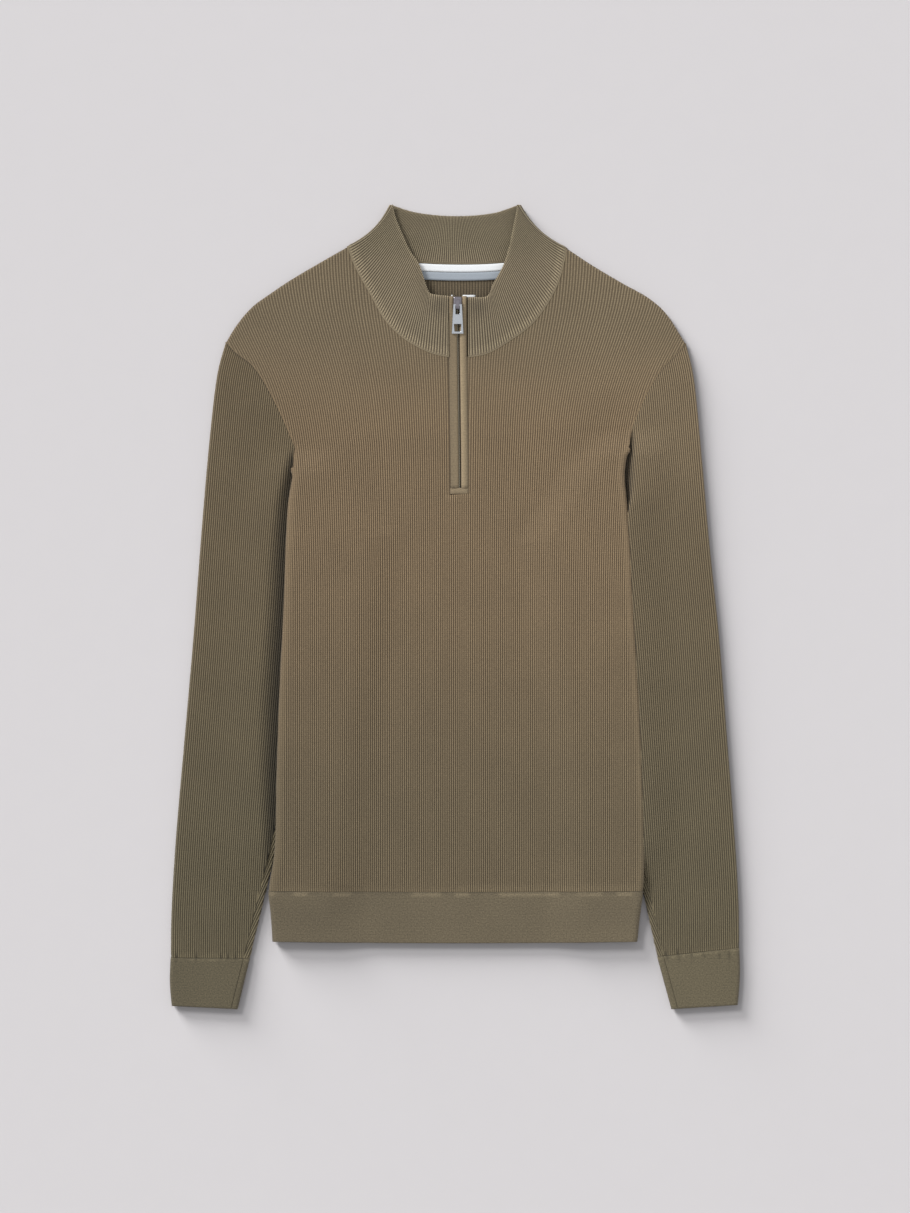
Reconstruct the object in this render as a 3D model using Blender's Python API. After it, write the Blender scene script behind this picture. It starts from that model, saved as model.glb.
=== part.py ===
"""Quarter zip sweater lying flat, face up, zip closed, its sides folded under and its sleeves straight down.

Frame: metres, +Z up, the surface it lies on is z = 0. +Y runs from hem to collar, +X is the wearer's left.
Sizes below are in millimetres. Every cloth piece is a wall around a middle surface.
"""

import math

import bmesh
import bpy
from mathutils import Vector

MM = 0.001

# Cloth and how it lies.
KNIT = 2.0              # wall of the rib knit
COLLAR_KNIT = 3.0       # wall of the doubled collar
PLACKET_KNIT = 2.6      # wall of the folded strips beside the zip
TAPE = 0.8              # wall of woven tape
SEAM = 0.3              # between two pieces that are sewn together
SEAM_SIDE = 0.33        # from the line of a curved seam to each piece's edge, whose wall leans a little
ROLLED_SEAM = 1.4       # the same between middle surfaces whose edges roll towards each other
LAYER_GAP = 0.5         # between two layers pressed on each other
SLEEVE_GAP = 0.4        # between a sleeve and the fold that lies on it
BACK_Z = KNIT / 2       # middle of the layer that lies on the surface
FRONT_Z = 5.5           # middle of the front where only the back is under it
DIP_Z = BACK_Z + KNIT + LAYER_GAP      # middle of a top layer that is pressed down
STEP = KNIT + LAYER_GAP                # from one pressed layer to the next
SLEEVE_STACK = 2 * KNIT + LAYER_GAP + SLEEVE_GAP   # what the sleeve lifts the fold by
DIP_FLAT = 12.0         # the pressed strip along an edge
DIP_RISE = 45.0         # from there back to full height

# Lengths along the body.
HEM_Y = -334.5
HEM_TOP_Y = -283.5
HEM_BOW = 1.6           # how much lower the hem hangs in the middle than at the sides
HEM_FLAT = 8.5          # of the hem that lies on the surface at the sides too
ZIP_END_Y = 112.0       # lower end of the bar that closes the placket
ZIP_BAR_Y = 118.0       # its upper end, where the two strips start
NECK_Y = 249.7          # collar seam at the zip
COLLAR_TOP_Y = 309.5    # top of the zip
MID_X = 4.0             # middle line of the garment
PLACKET_HALF = 9.2      # from the zip line to the placket's outer edge
SLIT_HALF = 1.05        # half the gap between the two strips
SLIDER_HALF = 4.9       # half the gap where the slider stands between them
SPREAD_Y = 289.0        # where the strips start to spread for the slider
SPREAD = 7.0
CHAIN_HALF = 1.6        # half the zip's closed teeth
CHAIN_WALL = 1.2
TAPE_INNER = 1.9        # the zip's tapes, from the zip line
TAPE_OUTER = 11.0
TAPE_TURNED = 17.5      # how far out the left tape's turned end shows above the collar
TAPE_TOP_Y = 311.2

# Slider, and the pull tab on its bridge.
SLIDER = {"width": 8.4, "bottom_y": 299.2, "top_y": 308.8, "low": 9.3, "high": 13.9, "bevel": 1.1}
HINGE_Y = 300.2
HINGE_Z = 15.3
BRIDGE_HALF = 1.75
BRIDGE = (
    (302.0, 13.3), (302.0, 16.75), (298.6, 16.75), (298.4, 14.3), (296.6, 14.3), (295.4, 15.6),
    (296.4, 17.6), (298.5, 18.1), (303.5, 18.1), (305.6, 17.2), (306.2, 13.3),
)
TAB_WALL = 1.4
TAB_SLOPE = math.radians(7.1)
# Rows of the tab, down from the hinge: distance, half its width, half its slot or window.
TAB_ROWS = (
    {"down": -0.75, "half": 4.3, "opening": 2.05},
    {"down": 0.75, "half": 4.35, "opening": 2.05},
    {"down": 9.0, "half": 4.75, "opening": 2.05},
    {"down": 19.0, "half": 5.3, "opening": 3.6},
    {"down": 26.3, "half": 5.7, "opening": 3.0},
    {"down": 28.6, "half": 5.9, "opening": 3.0},
)
TAB_OPEN_ROWS = (1, 3)  # cells between these rows and the next are open

# Tapes over the seam at the back of the neck: how far each reaches along it, and down from it.
NECK_TAPES = {
    "neck_tape_white": {"from": 0.2, "to": 0.8, "top": 0.5, "bottom": 7.9},
    "neck_tape_grey": {"from": 0.22, "to": 0.78, "top": 8.3, "bottom": 16.4},
}

# Fold along each side: y, then how far out the folded edge lies on the wearer's right and left.
BODY_EDGE = (
    {"y": -334.5, "right": 182.4, "left": 182.2},
    {"y": -305.0, "right": 184.2, "left": 185.2},
    {"y": -285.0, "right": 186.0, "left": 187.7},
    {"y": -246.0, "right": 180.5, "left": 189.5},
    {"y": -170.0, "right": 178.4, "left": 188.2},
    {"y": -85.0, "right": 175.5, "left": 184.2},
    {"y": 6.0, "right": 171.0, "left": 178.5},
    {"y": 65.0, "right": 169.0, "left": 175.5},
    {"y": 105.0, "right": 166.6, "left": 171.8},
    {"y": 132.0, "right": 162.2, "left": 169.6},
    {"y": 159.5, "right": 160.5, "left": 173.4},
    {"y": 179.0, "right": 160.5, "left": 177.0},
)

# How far the sides reach in under the body: y, then the depth from the folded edge.
UNDERFOLD = (
    {"y": -334.5, "depth": 40.0},
    {"y": -200.0, "depth": 46.0},
    {"y": -60.0, "depth": 55.0},
    {"y": 66.0, "depth": 65.0},
)

# Where the folded edge starts, at the visible end of the armhole seam, and the hidden armpit.
FOLD_START = {"right": (160.5, 159.5), "left": (177.0, 179.0)}
ARMPIT = {"right": (104.0, 66.0), "left": (110.5, 66.0)}

# Armhole seam from the shoulder to the start of the fold: distance out, y.
ARMHOLE = {
    "right": ((229.0, 264.0), (218.5, 253.0), (203.0, 241.0), (189.6, 221.5), (174.6, 192.0), (160.5, 159.5)),
    "left": ((230.7, 262.5), (220.0, 251.0), (206.6, 236.5), (193.0, 215.0), (183.5, 195.0), (177.0, 179.0)),
}

# Neckline from the zip to the top of the shoulder, then the shoulder's slope: distance out, y.
NECKLINE = {
    "right": ((5.2, 249.7), (26.4, 255.0), (50.5, 268.5), (69.3, 287.0), (82.7, 311.0), (97.4, 338.0), (107.0, 359.5)),
    "left": ((13.0, 249.7), (32.5, 253.7), (54.0, 266.0), (75.4, 282.0), (91.4, 303.0), (102.0, 324.7), (111.5, 357.8)),
}
SHOULDER = {
    "right": ((107.0, 359.5), (158.0, 330.0), (184.5, 312.6), (203.0, 299.0), (218.5, 281.0), (229.0, 264.0)),
    "left": ((111.5, 357.8), (137.0, 341.0), (166.4, 323.5), (193.0, 308.6), (212.0, 291.5), (230.7, 262.5)),
}
BACK_NECK = ((-107.0, 359.5), (-60.0, 346.0), (4.0, 342.0), (64.0, 345.5), (111.5, 357.8))

# Collar: its free edge in front from the zip to its point, and behind from point to point.
COLLAR_EDGE = {
    "right": ((5.2, 309.5), (21.0, 311.5), (27.0, 316.0), (35.8, 342.0), (44.6, 355.0), (53.4, 374.0), (66.0, 401.1)),
    "left": ((13.0, 308.5), (31.7, 309.5), (38.0, 322.0), (47.8, 340.0), (53.7, 358.0), (59.6, 382.8), (66.0, 401.1)),
}
COLLAR_BACK_EDGE = ((-66.0, 401.1), (-36.0, 393.5), (0.0, 390.5), (36.0, 393.0), (66.0, 401.1))

# Sleeves: outer silhouette from shoulder to cuff, then the inner corners of the knit and of the cuff.
SLEEVE_OUTER = {
    "right": ((229.0, 264.0), (238.0, 228.5), (246.0, 158.6), (254.0, 65.0), (261.0, -27.0),
              (270.0, -130.0), (278.6, -229.0), (283.0, -300.0), (284.0, -350.5)),
    "left": ((230.7, 262.5), (239.0, 225.0), (246.8, 145.0), (254.4, 60.0), (263.4, -26.5),
             (271.5, -128.0), (279.5, -232.0), (283.0, -290.0), (284.0, -340.5)),
}
CUFF = {
    "right": {"top_outer": (284.0, -350.5), "top_inner": (204.8, -351.5), "outer": (281.5, -400.0),
              "inner": (217.0, -402.0), "bulge": 2.2},
    "left": {"top_outer": (284.0, -340.5), "top_inner": (201.8, -349.5), "outer": (280.5, -399.0),
             "inner": (216.0, -402.0), "bulge": 2.6},
}

# The collar stands open: the front layer rises towards the zip's top.
LIFT = 6.5
LIFT_START_Y = 225.0
LIFT_RISE = 85.0
LIFT_WIDTH = 90.0

SIDES = {"right": -1, "left": 1}


def clamp(value):
    return min(max(value, 0.0), 1.0)


def smooth(value):
    value = clamp(value)
    return value * value * (3 - 2 * value)


def mix(a, b, t):
    return a + (b - a) * t


def read(table, y, column):
    """Value of a column at y, on a soft curve through the table's rows, which rise in y."""
    keys = [row["y"] for row in table]
    values = [row[column] for row in table]
    if y <= keys[0]:
        return values[0]
    if y >= keys[-1]:
        return values[-1]
    i = max(n for n, key in enumerate(keys) if key <= y)
    i = min(i, len(keys) - 2)
    slopes = [(values[n + 1] - values[n]) / (keys[n + 1] - keys[n]) for n in range(len(keys) - 1)]
    start = slopes[i] if i == 0 else (slopes[i - 1] + slopes[i]) / 2
    end = slopes[i] if i == len(slopes) - 1 else (slopes[i] + slopes[i + 1]) / 2
    span = keys[i + 1] - keys[i]
    t = (y - keys[i]) / span
    return (
        values[i] * (1 + 2 * t) * (1 - t) ** 2
        + start * span * t * (1 - t) ** 2
        + values[i + 1] * t * t * (3 - 2 * t)
        + end * span * t * t * (t - 1)
    )


def along(points, t):
    """Point at the fraction t of the length of a soft curve through the points."""
    points = [Vector(point) for point in points]
    dense = [points[0]]
    for i in range(len(points) - 1):
        before = points[i - 1] if i else points[i] * 2 - points[i + 1]
        after = points[i + 2] if i + 2 < len(points) else points[i + 1] * 2 - points[i]
        a = points[i]
        b = points[i + 1]
        for step in range(1, 9):
            s = step / 8
            dense.append(
                0.5 * (2 * a + (b - before) * s + (2 * before - 5 * a + 4 * b - after) * s * s
                       + (3 * a - before - 3 * b + after) * s ** 3)
            )
    lengths = [0.0]
    for a, b in zip(dense, dense[1:]):
        lengths.append(lengths[-1] + (b - a).length)
    target = clamp(t) * lengths[-1]
    for i in range(len(dense) - 1):
        if lengths[i + 1] >= target:
            part = (target - lengths[i]) / (lengths[i + 1] - lengths[i])
            return dense[i].lerp(dense[i + 1], part)
    return dense[-1]


def beside(points, side, t, distance):
    """Point along a seam at t, moved off it: a positive distance is towards the body."""
    points = placed(points, side)
    step = along(points, t + 0.02) - along(points, t - 0.02)
    way = Vector((step.y, -step.x)).normalized() * SIDES[side]
    return along(points, t) + way * distance


def placed(points, side):
    """Points given by their distance out, on the wearer's right or left."""
    return [(SIDES[side] * x, y) for x, y in points]


def zip_x(y):
    return mix(4.4, 2.6, smooth((y - ZIP_BAR_Y) / (COLLAR_TOP_Y - ZIP_BAR_Y)))


def slit_x(side, y):
    """Edge of the front and of the collar beside the placket."""
    return zip_x(y) + SIDES[side] * (PLACKET_HALF + SEAM)


def neck_lift(x, y):
    """How far the front layer is lifted by the open collar."""
    return LIFT * smooth((y - LIFT_START_Y) / LIFT_RISE) * smooth(1 - abs(x - MID_X) / LIFT_WIDTH)


# Heights of the body's layers.

FOLD_STAGES = {"rise": 30.0, "flat": 20.0, "quarter": 25.0, "half": 30.0, "turned": 40.0}


def below_start(side, y):
    """Distance below the start of the side fold."""
    return FOLD_START[side][1] - y


def edge_out(side, y):
    return read(BODY_EDGE, y, side)


def sleeve_support(y):
    """How far the side fold is held up by the sleeve under it: it comes down to the surface at the hem."""
    return SLEEVE_STACK * smooth((y - HEM_Y - HEM_FLAT) / 40)


def fold_depth(side, y):
    """How far in the underfold reaches from the folded edge."""
    armpit_out, armpit_y = ARMPIT[side]
    if y <= armpit_y:
        full = read(UNDERFOLD, armpit_y, "depth")
        return read(UNDERFOLD, y, "depth") * (edge_out(side, armpit_y) - armpit_out) / full
    start = FOLD_START[side][1] - FOLD_STAGES["half"]
    part = clamp((start - y) / (start - armpit_y))
    least = KNIT / 2 + STEP * 1.5
    return mix(least, edge_out(side, armpit_y) - armpit_out, part ** 1.1)


def layer_levels(side, y):
    """Middle heights at the folded edge: front, back, back's underfold, front's underfold."""
    rise = smooth(below_start(side, y) / FOLD_STAGES["rise"])
    lowest = BACK_Z + sleeve_support(y)
    return {
        "front": mix(DIP_Z, lowest + 3 * STEP, rise),
        "back": mix(BACK_Z, lowest + 2 * STEP, rise),
        "back_under": lowest + STEP,
        "front_under": lowest,
    }


def pressed(distance):
    """1 on the pressed strip along an edge, 0 where the cloth is back at its full height."""
    return 1 - smooth((distance - DIP_FLAT) / DIP_RISE)


def panel_end(side, y, piece):
    """How far out the top layer runs flat: to its edge, or to where it turns under."""
    turn = smooth((below_start(side, y) - FOLD_STAGES["flat"]) / (FOLD_STAGES["half"] - FOLD_STAGES["flat"]))
    inset = mix(SEAM_SIDE, KNIT / 2 + 1.5 * STEP, turn)
    if piece == "back":
        inset = mix(SEAM_SIDE, KNIT / 2 + 1.5 * STEP, clamp(below_start(side, y) / FOLD_STAGES["flat"]))
    return edge_out(side, y) - inset


# Rows of the body are pairs of y, on the wearer's right and left, because the fold starts higher on the left.

def body_rows():
    near = (0, 10, 20, 25, 30, 40, 57.25, 82, 112)
    rows = [tuple(FOLD_START[side][1] - step for side in SIDES) for step in near]
    last = rows[-1]
    bottom = HEM_TOP_Y + SEAM / 2
    steps = 6
    for n in range(1, steps + 1):
        rows.append(tuple(mix(y, bottom, n / steps) for y in last))
    return rows


def bowed(x, y, side):
    """y of a point on a row, which bows towards the hem."""
    across = clamp((x - MID_X) / (SIDES[side] * edge_out(side, y) - MID_X))
    return y - HEM_BOW * (1 - across ** 2) * smooth((-200.0 - y) / 80)


def row_y(row, side):
    return row[list(SIDES).index(side)]


def body_point(side, piece, column, row):
    """A point of the top layer of front or back. Column 0 is at the middle, 8 where the underfold ends."""
    y = row_y(row, side)
    middle_y = (row[0] + row[1]) / 2
    end = panel_end(side, y, "front")
    turned = below_start(side, y) > FOLD_STAGES["half"]
    out = min(edge_out(side, y) - fold_depth(side, y), end) if turned else end
    sign = SIDES[side]
    inner = slit_x(side, middle_y) if piece == "front" else MID_X
    stations = (DIP_FLAT + DIP_RISE, 42.0, 27.0, DIP_FLAT, 0.0)
    if column == TOP_COLUMNS:
        distance = 0.0
        x = sign * min(out, panel_end(side, y, piece))
    elif column >= 4:
        distance = stations[column - 4]
        x = sign * (out - distance)
    else:
        x = mix(inner, sign * (out - stations[0]), column / 4)
        distance = out - abs(x)
    levels = layer_levels(side, y)
    flat = FRONT_Z if piece == "front" else BACK_Z
    z = mix(flat, levels[piece], pressed(distance))
    across = clamp((x - MID_X) / (sign * out - MID_X))
    return Vector((x, bowed(x, mix(middle_y, y, across), side), z))


def side_point(side, piece, column, row):
    """A point of the folded side: flat 0 to 2, the turn 2 to 6, the underfold 6 to 8, its seam edge 8 to 10."""
    y = row_y(row, side)
    sign = SIDES[side]
    levels = layer_levels(side, y)
    below = below_start(side, y)
    end = panel_end(side, y, piece)
    depth = fold_depth(side, y)
    turned = below > FOLD_STAGES["half"]
    inner = min(edge_out(side, y) - depth, end) if turned else end
    turn = clamp((below - FOLD_STAGES["flat"]) / (FOLD_STAGES["half"] - FOLD_STAGES["flat"]))
    radius = (1.5 if piece == "front" else 0.5) * STEP
    top = levels[piece]
    seam_radius = STEP / 2
    seamed = 1.0 if y <= ARMPIT[side][1] + 1 else 0.0
    seam_x = inner + 2.0 + KNIT / 2 + seam_radius * seamed
    seam_x = min(seam_x, end)
    if column <= 2:
        x = sign * mix(inner, end, column / 2)
        return Vector((x, bowed(x, y, side), top))
    angle = math.pi * turn * min((column - 2) / 4, 1.0)
    x = end + radius * math.sin(angle)
    z = top - radius * (1 - math.cos(angle))
    if column > 6 and turned:
        x = mix(x, seam_x, min((column - 6) / 2, 1.0))
    if column > 8 and seamed:
        rolled = math.pi / 2 * (column - 8) / 2
        x = seam_x - seam_radius * math.sin(rolled)
        way = 1 if piece == "front" else -1
        z = z + way * (seam_radius - ROLLED_SEAM / 2) * (1 - math.cos(rolled))
    return Vector((sign * x, bowed(sign * x, y, side), z))


# Upper body: from the row where the fold starts up to the neckline and the shoulders.

NECK_COLUMNS = 4
TOP_COLUMNS = 8
UPPER_ROWS = (0.0, 0.25, 0.5, 0.75)
ROLL = (FRONT_Z - BACK_Z) / 2


def top_outline(side, piece, column):
    """Upper edge of front or back: neckline for columns 0 to 4, shoulder for 4 to 8."""
    if column <= NECK_COLUMNS:
        t = column / NECK_COLUMNS
        if piece == "front":
            return beside(NECKLINE[side], side, t, SEAM_SIDE)
        half = (1 - t) / 2
        return along(BACK_NECK, half if side == "right" else 1 - half)
    t = (column - NECK_COLUMNS) / (TOP_COLUMNS - NECK_COLUMNS)
    return along(placed(SHOULDER[side], side), t)


def upper_point(side, piece, column, row):
    """Row is a fraction of the way up, or past 1 the step of the roll at the shoulder."""
    first = body_rows()[0]
    if row == 0:
        return body_point(side, piece, column, first)
    rolls = (1.0, 0.3, 0.0)
    reach = KNIT / 2 if column > NECK_COLUMNS else 0.0
    if piece == "back":
        reach = max(reach, SEAM / 2)
    t = row
    beyond = None
    if row > 1:
        beyond = rolls[round(row) - 2]
        t = 1.0
    u = column / TOP_COLUMNS
    bottom = body_point(side, piece, column, first)
    start_row = body_point(side, piece, 0, first)
    end_row = body_point(side, piece, TOP_COLUMNS, first)
    top = top_outline(side, piece, column)
    middle_top = top_outline(side, piece, 0)
    shoulder = top_outline(side, piece, TOP_COLUMNS)
    inner = start_row.xy.lerp(middle_top, t)
    seam = beside(ARMHOLE[side], side, 1 - t, SEAM_SIDE)
    shoulder = beside(ARMHOLE[side], side, 0.0, SEAM_SIDE)
    if piece == "front":
        inner.x = slit_x(side, inner.y)
        middle_top = Vector((slit_x(side, middle_top.y), middle_top.y))
        if column == 0:
            top = middle_top
    if column == TOP_COLUMNS:
        top = shoulder
    plan = (
        bottom.xy.lerp(top, t) + inner.lerp(seam, u)
        - (start_row.xy.lerp(end_row.xy, u)).lerp(middle_top.lerp(shoulder, u), t)
    )
    # Move in from the outline, so that the wall's outer face lies on it.
    if t > 0.9:
        way = (bottom.xy - top).normalized()
        if column == TOP_COLUMNS:
            way = (beside(ARMHOLE[side], side, 0.25, SEAM_SIDE) - top).normalized()
        plan = plan + way * (reach + (beyond if beyond is not None else 0.0) * ROLL)
    distance = (plan - Vector((SIDES[side] * FOLD_START[side][0], FOLD_START[side][1]))).length
    flat, low = (FRONT_Z, DIP_Z) if piece == "front" else (BACK_Z, BACK_Z)
    z = mix(flat, low, pressed(distance))
    if piece == "front":
        z += neck_lift(plan.x, plan.y)
    if column >= NECK_COLUMNS and beyond is not None:
        middle = (FRONT_Z + BACK_Z) / 2
        down = math.sqrt(1 - (1 - beyond) ** 2)
        way = 1 if piece == "front" else -1
        z = middle + way * mix(ROLLED_SEAM / 2, ROLL, down)
    return Vector((plan.x, plan.y, z))


# Flattened tubes: sleeves, cuffs and the collar.

def tube_point(station, front, back, front_z, back_z, wall):
    """A point of a flattened tube. Station is (place, amount): place front, back, first turn or last turn.

    front and back give the plan at a fraction across, from the first folded edge to the last.
    """
    place, amount = station
    first = front(0.0)
    last = front(1.0)
    inward = (front(1 / 7) - first).normalized()
    outward = (last - front(6 / 7)).normalized()
    low = back_z

    def turn_of(edge, way):
        high = front_z(edge.x, edge.y)
        radius = (high - low) / 2
        return edge - way * (wall / 2 + radius), radius

    first_start, first_radius = turn_of(first, -inward)
    last_start, last_radius = turn_of(last, outward)
    if place == "first":
        angle = math.pi * amount
        plan = first_start - inward * first_radius * math.sin(angle)
        return Vector((plan.x, plan.y, low + first_radius * (1 + math.cos(angle))))
    if place == "last":
        angle = math.pi * amount
        plan = last_start + outward * last_radius * math.sin(angle)
        return Vector((plan.x, plan.y, low + last_radius * (1 + math.cos(angle))))
    way = front if place == "front" else back
    plan = way(amount)
    plan = plan + (first_start - way(0.0)) * (1 - amount) ** 20 + (last_start - way(1.0)) * amount ** 20
    z = front_z(plan.x, plan.y) if place == "front" else low
    if place == "front":
        edge_high = mix(first_radius, last_radius, round(amount)) * 2 + low
        z = mix(z, edge_high, smooth(abs(amount - 0.5) * 20 - 9))
    return Vector((plan.x, plan.y, z))


TURN = (0.25, 0.5, 0.75)
UNDERARM = 6.5          # from the inner fold to the underarm seam, which shows on top


def tube_stations():
    """Round a sleeve from its underarm seam, out along the front, back under it and up round the inner fold."""
    top = [("seam", -SEAM / 2)]
    top += [("front", amount) for amount in (6 / 7, 5 / 7, 4 / 7, 3 / 7, 2 / 7, 1 / 7, 0.0)]
    top += [("first", amount) for amount in TURN]
    top += [("back", amount) for amount in (0.0, 1 / 7, 2 / 7, 3 / 7, 4 / 7, 5 / 7, 6 / 7, 1.0)]
    top += [("last", 1 - amount) for amount in TURN]
    top += [("front", 1.0), ("seam", SEAM / 2)]
    return top


def sleeve_height(side, x, y):
    """Middle of a sleeve's upper layer: pressed down under the body and along its edge."""
    start_out, start_y = FOLD_START[side]
    out = SIDES[side] * x
    if y > start_y:
        distance = math.hypot(out - start_out, y - start_y)
    elif y < HEM_Y:
        distance = math.hypot(max(out - edge_out(side, HEM_Y), 0.0), HEM_Y - y)
    else:
        distance = out - edge_out(side, y)
    return mix(FRONT_Z, DIP_Z, pressed(distance))


def sleeve_start(side, u):
    """Armhole edge of a sleeve: the visible seam for u up to 4/7, then the hidden way to the armpit."""
    visible = 4 / 7
    if u <= visible:
        return beside(ARMHOLE[side], side, u / visible, -SEAM_SIDE)
    start_y = FOLD_START[side][1]
    first_y = start_y - FOLD_STAGES["flat"]
    armpit_out, armpit_y = ARMPIT[side]
    start = Vector((FOLD_START[side][0] + SEAM / 2, start_y))
    turn = Vector((edge_out(side, first_y) + 3.0, first_y))
    middle_y = mix(first_y, armpit_y, 0.5)
    middle = Vector((edge_out(side, middle_y) - fold_depth(side, middle_y) + 3.5, middle_y))
    armpit = Vector((armpit_out, armpit_y))
    stops = (start, turn, middle, armpit)
    place = (u - visible) / (1 - visible) * 3
    i = min(int(place + 1e-9), 2)
    point = stops[i].lerp(stops[i + 1], place - i)
    return Vector((SIDES[side] * point.x, point.y))


def sleeve_plan(side, u, t):
    """Plan of a sleeve: across from its outer to its inner edge, down from the armhole to the cuff."""
    cuff = CUFF[side]
    outer = along(placed(SLEEVE_OUTER[side], side), t)
    armpit = Vector(placed([ARMPIT[side]], side)[0])
    ends = [Vector(point) for point in placed([cuff["top_outer"], cuff["top_inner"]], side)]
    inner = armpit.lerp(ends[1], t)
    start = sleeve_start(side, u)
    end = ends[0].lerp(ends[1], u)
    end = Vector((end.x, end.y + SEAM / 2))
    corner = sleeve_start(side, 0.0).lerp(armpit, u)
    return start.lerp(end, t) + outer.lerp(inner, u) - corner.lerp(ends[0].lerp(ends[1], u), t)


def cuff_plan(side, u, t):
    cuff = CUFF[side]
    corners = {name: Vector(placed([cuff[name]], side)[0]) for name in ("top_outer", "top_inner", "outer", "inner")}
    top = corners["top_outer"].lerp(corners["top_inner"], u)
    top.y -= SEAM / 2
    bottom = corners["outer"].lerp(corners["inner"], u)
    plan = top.lerp(bottom, t)
    bulge = cuff["bulge"] * math.sin(math.pi * t)
    plan.x += SIDES[side] * bulge * (1 - u)
    return plan


def tube(side, plan, station, t):
    place, amount = station
    height = lambda x, y: sleeve_height(side, x, y)
    across = lambda u: plan(side, u, t)
    if place == "seam":
        width = (across(1.0) - across(0.0)).length
        fold = tube_point(("front", 1.0), across, across, height, BACK_Z, KNIT)
        beside_fold = tube_point(("front", 6 / 7), across, across, height, BACK_Z, KNIT)
        reach = (UNDERARM - KNIT / 2 - 2.0 - amount) / (width / 7)
        return fold.lerp(beside_fold, reach)
    return tube_point(station, across, across, height, BACK_Z, KNIT)


# Collar: a strip from the zip round the neck and back to the zip.

def collar_stations():
    front = [0.0, 0.25, 0.5, 0.75, 1.0]
    stations = [("right", amount) for amount in front]
    stations += [("right_turn", amount) for amount in TURN]
    stations += [("back", amount / 8) for amount in range(9)]
    stations += [("left_turn", 1 - amount) for amount in TURN]
    stations += [("left", 1 - amount) for amount in front]
    return stations


def collar_height(x, y):
    return FRONT_Z + (COLLAR_KNIT - KNIT) / 2 + neck_lift(x, y)


def collar_point(station, height):
    place, amount = station
    low = COLLAR_KNIT / 2
    if place == "back":
        seam = along(BACK_NECK, amount)
        free = along(COLLAR_BACK_EDGE, amount)
        plan = seam.lerp(free, height)
        plan.y += SEAM / 2 * (1 - height)
        inset = inset_of_crease(plan, height)
        plan.x *= 1 - inset / abs(crease("left", height).x) * abs(2 * amount - 1) ** 3
        return Vector((plan.x, plan.y, low))
    side = place.split("_")[0]
    edge = crease(side, height)
    radius = (collar_height(edge.x, edge.y) - low) / 2
    start_x = abs(edge.x) - COLLAR_KNIT / 2 - radius
    if place.endswith("turn"):
        angle = math.pi * amount
        x = SIDES[side] * (start_x + radius * math.sin(angle))
        return Vector((x, edge.y, low + radius * (1 + math.cos(angle))))
    free = along(placed(COLLAR_EDGE[side], side), amount)
    seam = beside(NECKLINE[side], side, amount, -SEAM_SIDE)
    plan = seam.lerp(free, height)
    if amount == 0.0:
        plan.x = slit_x(side, plan.y)
    if amount == 1.0:
        plan.x = SIDES[side] * start_x
    z = collar_height(plan.x, plan.y)
    if amount == 1.0:
        z = low + 2 * radius
    return Vector((plan.x, plan.y, z))


def crease(side, height):
    """Side crease of the collar, from the shoulder to its point."""
    seam = Vector(placed([NECKLINE[side][-1]], side)[0])
    point = Vector(placed([COLLAR_EDGE[side][-1]], side)[0])
    return seam.lerp(point, height) + Vector((0.0, SEAM / 2 * (1 - height)))


def inset_of_crease(plan, height):
    edge = crease("left", height)
    return COLLAR_KNIT / 2 + (collar_height(edge.x, edge.y) - COLLAR_KNIT / 2) / 2


# Making meshes.

def patch(bm, columns, rows, place):
    """A grid whose points are put by place(column, row), in millimetres."""
    last_column = len(columns) - 1
    last_row = len(rows) - 1
    grid = bmesh.ops.create_grid(bm, x_segments=last_column, y_segments=last_row, size=0.5)
    for vert in grid["verts"]:
        column = columns[round((vert.co.x + 0.5) * last_column)]
        row = rows[round((vert.co.y + 0.5) * last_row)]
        vert.co = place(column, row) * MM


def srgb(code):
    """Linear colour of an sRGB hex value."""
    values = [int(code[i:i + 2], 16) / 255 for i in (0, 2, 4)]
    return [v / 12.92 if v <= 0.04045 else ((v + 0.055) / 1.055) ** 2.4 for v in values] + [1.0]


def material(name, colour, roughness, metallic=0.0):
    made = bpy.data.materials.get(name)
    if made:
        return made
    made = bpy.data.materials.new(name)
    made.use_nodes = True
    shader = made.node_tree.nodes["Principled BSDF"]
    shader.inputs["Base Color"].default_value = srgb(colour)
    shader.inputs["Roughness"].default_value = roughness
    shader.inputs["Metallic"].default_value = metallic
    return made


def finish(name, bm, look):
    mesh = bpy.data.meshes.new(name)
    bm.to_mesh(mesh)
    bm.free()
    mesh.materials.append(look)
    obj = bpy.data.objects.new(name, mesh)
    bpy.context.scene.collection.objects.link(obj)
    return obj


def cloth(name, patches, wall, look):
    """A cloth piece: patches welded where they meet, then given their wall."""
    bm = bmesh.new()
    for columns, rows, place in patches:
        patch(bm, columns, rows, place)
    bmesh.ops.remove_doubles(bm, verts=bm.verts, dist=0.02 * MM)
    bmesh.ops.recalc_face_normals(bm, faces=bm.faces)
    for face in bm.faces:
        face.smooth = True
    obj = finish(name, bm, look)
    wall_maker = obj.modifiers.new("wall", "SOLIDIFY")
    wall_maker.thickness = wall * MM
    wall_maker.offset = 0.0
    wall_maker.use_even_offset = True
    wall_maker.use_quality_normals = True
    return obj


def body_patches(piece):
    rows = body_rows()
    patches = []
    for side in SIDES:
        patches.append((range(9), rows, lambda c, r, s=side: body_point(s, piece, c, r)))
        upper = list(UPPER_ROWS) + [2, 3, 4]
        patches.append((range(9), upper, lambda c, r, s=side: upper_point(s, piece, c, r)))
        folded = [row for row in rows if below_start(side, row_y(row, side)) >= FOLD_STAGES["flat"] - 0.01]
        patches.append((range(11), folded, lambda c, r, s=side: side_point(s, piece, c, r)))
    return patches


def middle_strip(rows):
    """The front's strip between its halves, below the zip."""
    def place(side, row):
        return body_point(side, "front", 0, row)
    return (list(SIDES), rows, place)


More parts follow.
